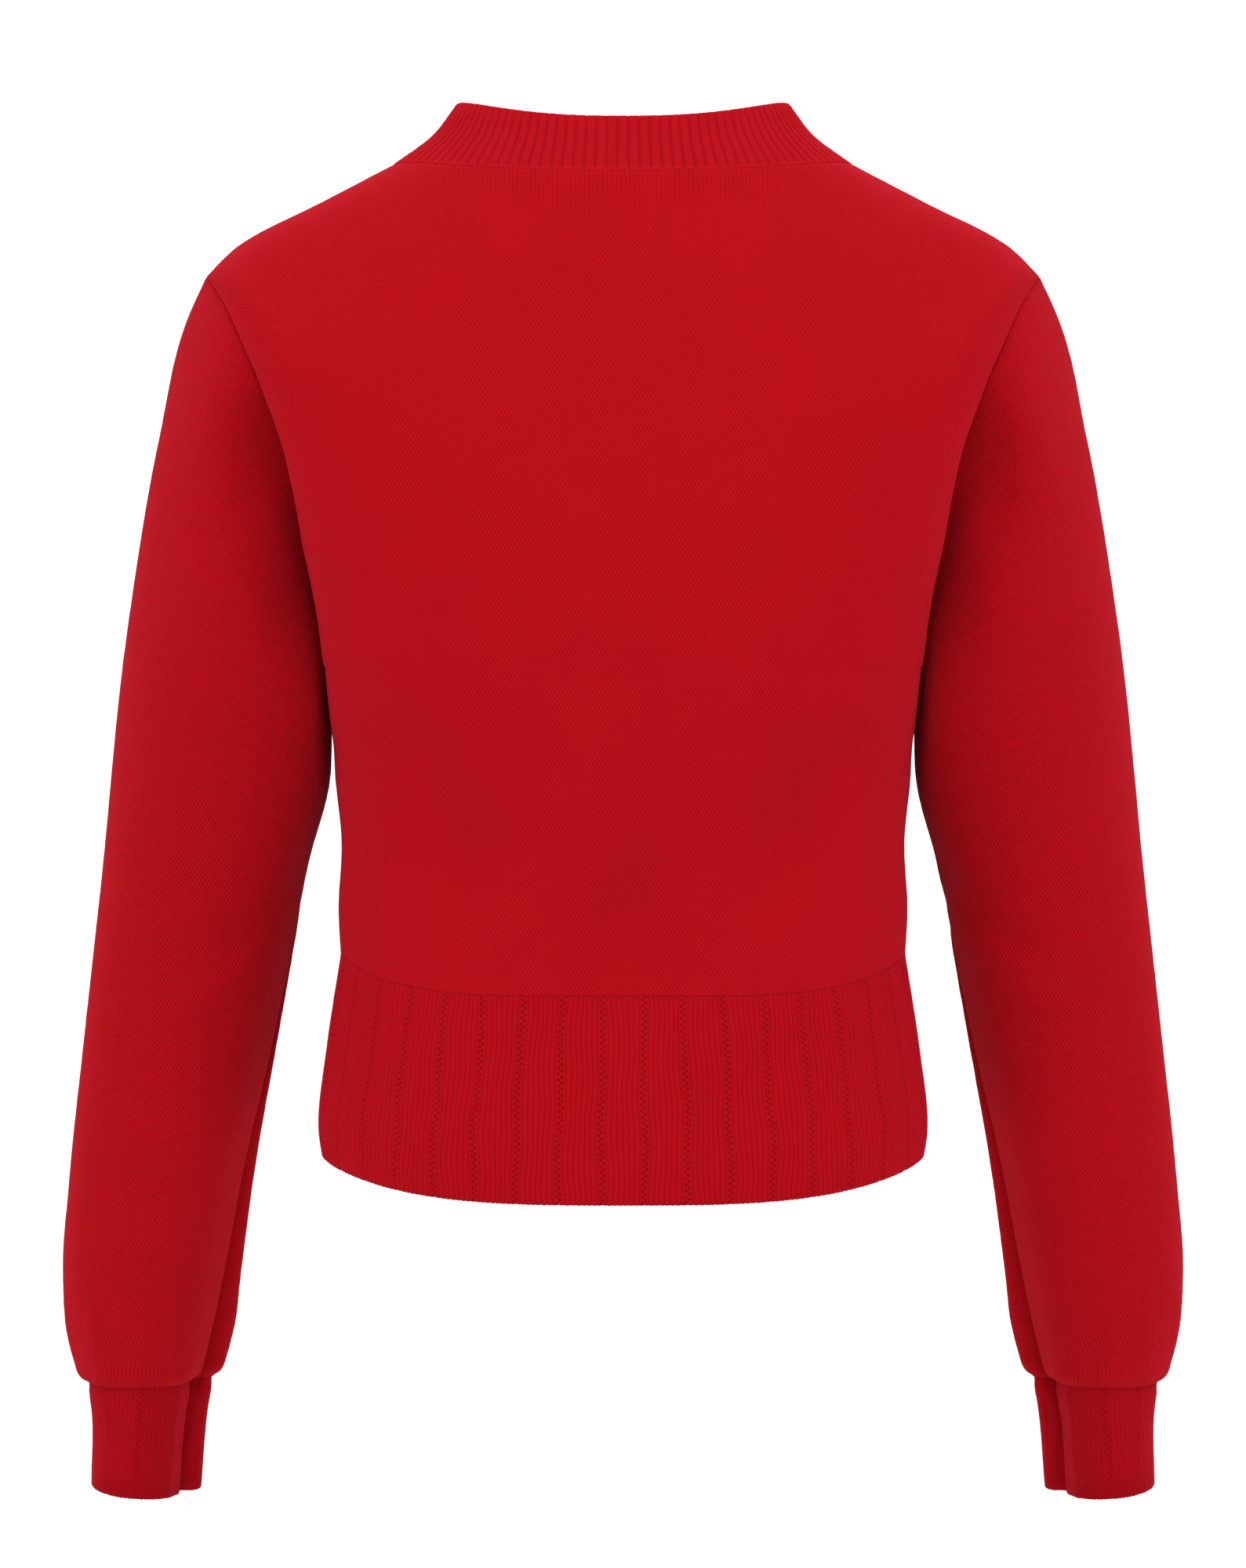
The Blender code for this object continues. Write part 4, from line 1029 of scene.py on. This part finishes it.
def meet_collar(panels, collar):
    """Join the collar's first ring to the panels' top rows, with one wall direction."""
    count = collar["points"].shape[1] // 2
    places = np.linspace(0.0, 1.0, count + 1)
    halves = []
    for start, name in enumerate(("back", "front")):
        columns = (np.arange(count + 1) + start * count) % (2 * count)
        shares = row_shares(panels[name]["points"][-1])
        own = spread_along(collar["normals"][0, columns], places, shares)
        halves.append((panels[name], columns, shares, own))
    for panel, columns, shares, own in halves:
        panel["normals"][-1] = unit(panel["normals"][-1] + own)
        collar["points"][0, columns] = spread_along(panel["points"][-1], shares, places)
        facing = spread_along(panel["normals"][-1], shares, places)
        collar["normals"][0, columns] = unit(facing)


def collar_shell(shells):
    """The ribbed neckband, sewn to the panels and folded over at its top edge."""
    share = np.linspace(0.0, 1.0, COLLAR_RIBS * COLLAR_STEPS // 4 + 1)
    places = np.linspace(0.0, len(COLLAR_RINGS) - 1 - COLLAR_EDGE, COLLAR_ROWS)
    points = collar_rings(places, share)
    shell = new_shell("collar", points, COLLAR_WALL, True, {"first row": NECK_ROLL}, 0)
    meet_collar(shells, shell)
    ribs = np.linspace(0.0, COLLAR_RIBS, points.shape[1] + 1)
    shell["knit"][..., 0] = ribs[None, :]
    from_groove = np.abs(ribs[:-1] % 1.0 - 0.5)
    profile = COLLAR_RIB_PROUD - np.exp(-(from_groove / COLLAR_GROOVE_WIDTH) ** 2)
    whole = softened(shell["edge"][:, :-1, 1] / COLLAR_RIB_FADE)
    fade = COLLAR_EDGE_RIB + (1.0 - COLLAR_EDGE_RIB) * whole
    shell["relief"] += COLLAR_RIB_HEIGHT * profile[None, :] * fade
    shell["follow"] = COLLAR_FOLLOW
    return shell


# --------------------------------------------------------------------------------- wool
class Measure:
    """A number that changes over a piece, worked out by the Math nodes of its material."""

    def __init__(self, tree, socket):
        self.tree = tree
        self.socket = socket

    def worked(self, operation, *others):
        """One Math node, fed by this measure and then by the others."""
        node = self.tree.nodes.new("ShaderNodeMath")
        node.operation = operation
        feed(self.tree, zip(node.inputs, (self,) + others))
        return Measure(self.tree, node.outputs[0])

    def __add__(self, other):
        return self.worked("ADD", other)

    def __sub__(self, other):
        return self.worked("SUBTRACT", other)

    def __rsub__(self, number):
        return self * -1.0 + number

    def __mul__(self, other):
        return self.worked("MULTIPLY", other)

    def wave(self, length, shape="SINE"):
        """A wave of the given length, from minus one to one."""
        return (self * (2 * math.pi / length)).worked(shape)

    def eased(self, reach):
        """From nought to one while this measure goes from the first of reach to the last."""
        node = self.tree.nodes.new("ShaderNodeMapRange")
        node.interpolation_type = "SMOOTHSTEP"
        sockets = [node.inputs[name] for name in ("Value", "From Min", "From Max")]
        feed(self.tree, zip(sockets, (self,) + reach))
        return Measure(self.tree, node.outputs["Result"])

    def blend(self, first, second):
        """The first number where this share is nought, and the second where it is one."""
        node = self.tree.nodes.new("ShaderNodeMix")
        sockets = [node.inputs[name] for name in ("Factor", "A", "B")]
        feed(self.tree, zip(sockets, (self, first, second)))
        return Measure(self.tree, node.outputs["Result"])


def feed(tree, pairs):
    """Feed sockets from measures or from plain values."""
    for socket, value in pairs:
        if isinstance(value, Measure):
            tree.links.new(value.socket, socket)
        else:
            socket.default_value = value


def soft_noise(tree, scale, detail):
    """Smooth noise over the piece's own metres, from nought to one."""
    node = tree.nodes.new("ShaderNodeTexNoise")
    place = tree.nodes.new("ShaderNodeTexCoord").outputs["Object"]
    tree.links.new(place, node.inputs["Vector"])
    node.inputs["Scale"].default_value = scale
    node.inputs["Detail"].default_value = detail
    node.inputs["Roughness"].default_value = 0.6
    return Measure(tree, node.outputs["Fac"])


def knit_map(tree, name):
    """The two coordinates of one of a shell's maps."""
    node = tree.nodes.new("ShaderNodeUVMap")
    node.uv_map = name
    parts = tree.nodes.new("ShaderNodeSeparateXYZ")
    tree.links.new(node.outputs["UV"], parts.inputs["Vector"])
    return Measure(tree, parts.outputs["X"]), Measure(tree, parts.outputs["Y"])


def wool_yarn_group():
    """Colour and height of woollen yarn: painted shade between the stitches, fuzzy and mottled."""
    tree = bpy.data.node_groups.new("wool_yarn", "ShaderNodeTree")
    face = tree.interface
    face.new_socket("Wool", in_out="INPUT", socket_type="NodeSocketColor")
    for name in ("Crest", "Shadow", "Fuzz"):
        face.new_socket(name, in_out="INPUT", socket_type="NodeSocketFloat")
    face.new_socket("Colour", in_out="OUTPUT", socket_type="NodeSocketColor")
    face.new_socket("Height", in_out="OUTPUT", socket_type="NodeSocketFloat")
    given = tree.nodes.new("NodeGroupInput").outputs
    crest, shadow, fuzz = (Measure(tree, given[name]) for name in ("Crest", "Shadow", "Fuzz"))
    fibre = soft_noise(tree, FIBRES, 3.0) - 0.5
    clump = soft_noise(tree, CLUMPS, 2.0) - 0.5
    cloud = soft_noise(tree, CLOUDS, 3.0) - 0.5
    # Painted shade: the colour darkens where the crest falls between the stitches.
    tone = 1.0 - (1.0 - crest) * shadow
    tone = tone + fibre * fuzz + clump * fuzz * CLUMP_SHARE + cloud * CLOUD_SHARE
    scale = tree.nodes.new("ShaderNodeVectorMath")
    scale.operation = "SCALE"
    tree.links.new(given["Wool"], scale.inputs[0])
    result = tree.nodes.new("NodeGroupOutput").inputs
    tree.links.new(scale.outputs[0], result["Colour"])
    feed(tree, [(scale.inputs["Scale"], tone), (result["Height"], crest + fibre * FIBRE_HEIGHT)])
    return tree


def wool(kind, yarn, stitches):
    """The woollen material of a kind of piece, knitted in the given stitches."""
    value = dict(zip(WOOL_COLUMNS, WOOLS[kind]))
    material = bpy.data.materials.new(f"{kind}_wool")
    material.use_nodes = True
    tree = material.node_tree
    shader = tree.nodes["Principled BSDF"]
    group = tree.nodes.new("ShaderNodeGroup")
    group.node_tree = yarn
    group.inputs["Wool"].default_value = value["red"]
    group.inputs["Shadow"].default_value = value["shadow"]
    group.inputs["Fuzz"].default_value = value["fuzz"]
    feed(tree, [(group.inputs["Crest"], stitches(tree))])
    bump = tree.nodes.new("ShaderNodeBump")
    bump.inputs["Strength"].default_value = STITCH_STRENGTH
    bump.inputs["Distance"].default_value = value["height"]
    tree.links.new(group.outputs["Height"], bump.inputs["Height"])
    tree.links.new(group.outputs["Colour"], shader.inputs["Base Color"])
    tree.links.new(bump.outputs["Normal"], shader.inputs["Normal"])
    for name, setting in WOOL_FINISH.items():
        shader.inputs[name].default_value = setting
    return material


def staggered_stitches(tree):
    """Tiny round stitches, each row half a stitch aside of the last, and their wander."""
    across, up = knit_map(tree, "knit")
    wander = (soft_noise(tree, WANDERS, 2.0) - 0.5) * WANDER
    dots = (across + wander).wave(WALE) * (up + wander).wave(2 * COURSE)
    return dots * 0.5 + 0.5, wander


def dotted_wales(across, up, wale):
    """Upright wales of plain stitches, with a dot of painted shade between the stitches."""
    line = across.wave(wale, "COSINE") * 0.5 + 0.5
    dot = up.wave(DOT_COURSE, "COSINE") * 0.25 + 0.75
    return line.worked("POWER", 0.7) * dot


def body_stitches(tree):
    """The body's staggered stitches, and wales beside the armholes and under the neck."""
    across, up = knit_map(tree, "knit")
    from_side, from_top = knit_map(tree, "edge")
    stitches, wander = staggered_stitches(tree)
    by_neck = dotted_wales(across + wander, from_top, NECK_WALE)
    by_side = dotted_wales(from_side, up, SIDE_WALE)
    near_side = from_side.eased(SIDE_REACH) * up.eased(SIDE_HEIGHTS) * SIDE_SHARE
    near_neck = from_top.eased(NECK_REACH) * NECK_SHARE
    return near_neck.blend(near_side.blend(stitches, by_side), by_neck)


def sleeve_stitches(tree):
    """The sleeve's staggered stitches, the same knit as the body's."""
    return staggered_stitches(tree)[0]


def collar_stitches(tree):
    """Stitches up each collar rib, painted shade in the grooves between, and pale linking at the
    seam.
    """
    across, up = knit_map(tree, "knit")
    from_groove = (across.worked("FRACT") - 0.5).worked("ABSOLUTE")
    ribbed = from_groove.eased(RIB_EDGE) * (up.wave(RIB_COURSE) * 0.10 + 0.90)
    links = across.wave(0.5) * 0.35 + 1.5
    return up.eased(LINK_REACH).blend(ribbed, links)


def band_stitches(tree):
    """Wales of a band with painted shade in their grooves, and two lines of small eyelets
    up the middle of each repeat, each eyelet a dot of painted shade in place of a hole.
    """
    across, up = knit_map(tree, "knit")
    aside = across.worked("FRACT") - 0.5
    from_middle = aside.worked("ABSOLUTE")
    wale = (across * float(WALES_PER_REPEAT)).worked("FRACT")
    from_groove = wale.worked("MINIMUM", 1.0 - wale)
    wales = from_groove.eased(BAND_GROOVE).worked("MAXIMUM", from_middle.eased(EYELET_PLAIN))
    other_line = aside.worked("GREATER_THAN", 0.0) * 0.5
    step = (up * (1.0 / EYELET_COURSE) + other_line).worked("FRACT") - 0.5
    off_across = (from_middle - EYELET_LINE) * EYELET_SHAPE[0]
    off_up = step * EYELET_SHAPE[1]
    off = (off_across * off_across + off_up * off_up).worked("SQRT")
    # Painted shade: the eyelets darken the colour where holes would show shade.
    eyelets = off.eased(EYELET_RIM).blend(EYELET_PAINTED_SHADE, 1.0)
    return wales * eyelets * (up.wave(BAND_COURSE) * 0.06 + 0.94)


def cuff_stitches_with_painted_shade(tree):
    """The band's stitches, with painted shade at the top of the cuff, where the full sleeve above
    would shade it.
    """
    from_top = knit_map(tree, "edge")[1]
    return band_stitches(tree) * from_top.eased(CUFF_PAINTED_SHADE_REACH).blend(CUFF_PAINTED_SHADE, 1.0)


# -------------------------------------------------------------------------------- studio
def floor_material():
    """The quiet pale finish of the studio floor, with a faint unevenness."""
    material = bpy.data.materials.new("pale_floor")
    material.use_nodes = True
    tree = material.node_tree
    shader = tree.nodes["Principled BSDF"]
    tone = tree.nodes.new("ShaderNodeMix")
    tone.data_type = "RGBA"
    feed(tree, [(tone.inputs[0], soft_noise(tree, 3.0, 2.0))])
    tone.inputs[6].default_value = FLOOR_WHITE
    tone.inputs[7].default_value = tuple(part * FLOOR_LIGHTEN for part in FLOOR_WHITE[:3]) + (1.0,)
    tree.links.new(tone.outputs[2], shader.inputs["Base Color"])
    shader.inputs["Roughness"].default_value = 0.8
    return material


def soft_light(name, window):
    """One large soft light, turned to face the place that it lights."""
    lamp = bpy.data.lights.new(name, "AREA")
    lamp.shape = "RECTANGLE"
    lamp.size, lamp.size_y = window["size"]
    lamp.energy = window["power"]
    light = bpy.data.objects.new(name, lamp)
    bpy.context.scene.collection.objects.link(light)
    light.location = window["place"]
    way = Vector(window["aim"]) - Vector(window["place"])
    light.rotation_euler = way.to_track_quat("-Z", "Y").to_euler()


def studio():
    """Camera, pale floor, bright surroundings and soft lights."""
    scene = bpy.context.scene
    view = bpy.data.cameras.new("photo_camera")
    view.sensor_fit = "HORIZONTAL"
    view.sensor_width = SENSOR_WIDTH
    view.lens = CAMERA_PIXELS * SENSOR_WIDTH / FRAME_WIDTH
    view.clip_end = 60.0
    camera = bpy.data.objects.new("photo_camera", view)
    scene.collection.objects.link(camera)
    camera.location = CAMERA_PLACE
    camera.rotation_euler = (math.pi / 2, 0.0, math.pi)
    scene.camera = camera
    bpy.ops.object.select_all(action="DESELECT")
    bpy.ops.mesh.primitive_plane_add(size=FLOOR_SIZE, location=(0.0, 0.0, FLOOR_HEIGHT))
    floor = bpy.context.object
    floor.name = "studio_floor"
    floor.data.materials.append(floor_material())
    world = bpy.data.worlds.new("bright_studio")
    world.use_nodes = True
    backdrop = world.node_tree.nodes["Background"]
    backdrop.inputs["Color"].default_value = (1.0, 1.0, 1.0, 1.0)
    backdrop.inputs["Strength"].default_value = DAYLIGHT
    scene.world = world
    scene.view_settings.view_transform = "Standard"
    scene.view_settings.look = "None"
    for name, row in WINDOWS.items():
        soft_light(name, dict(zip(WINDOW_COLUMNS, row)))


# ------------------------------------------------------------------------------- making
def all_shells():
    """The nine shells, in the order in which they are made."""
    panels, loop, first, last = torso_shells()
    collar = collar_shell(panels)
    share_side_normals(panels)
    for panel in panels.values():
        level_rim(panel, 0)
    out, side = line_up_armholes(panels, loop, first, last)
    sleeves = sleeve_shells(loop, out, side)
    return list(panels.values()) + sleeves + hem_shells() + cuff_shells() + [collar]


def main():
    """Make every shell in its wool, attach it to the root, and hide the solid that it covers."""
    shells = all_shells()
    yarn = wool_yarn_group()
    body = wool("body", yarn, body_stitches)
    woollens = {
        "back": body,
        "front": body,
        "sleeve": wool("sleeve", yarn, sleeve_stitches),
        "collar": wool("collar", yarn, collar_stitches),
        "hem": wool("hem", yarn, band_stitches),
        "cuff": wool("cuff", yarn, cuff_stitches_with_painted_shade),
    }
    chance = np.random.RandomState(UNEVEN_SEED)
    for shell in shells:
        node = shell["name"]
        kind = node.split("_")[0]
        shell["relief"] += WOOL_UNEVEN * chance.normal(size=shell["relief"].shape)
        open_seams(shell)
        piece = knitted_shell(shell)
        piece.data.materials.append(woollens[kind])
        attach(piece, "root")
        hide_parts(node)
    studio()


main()
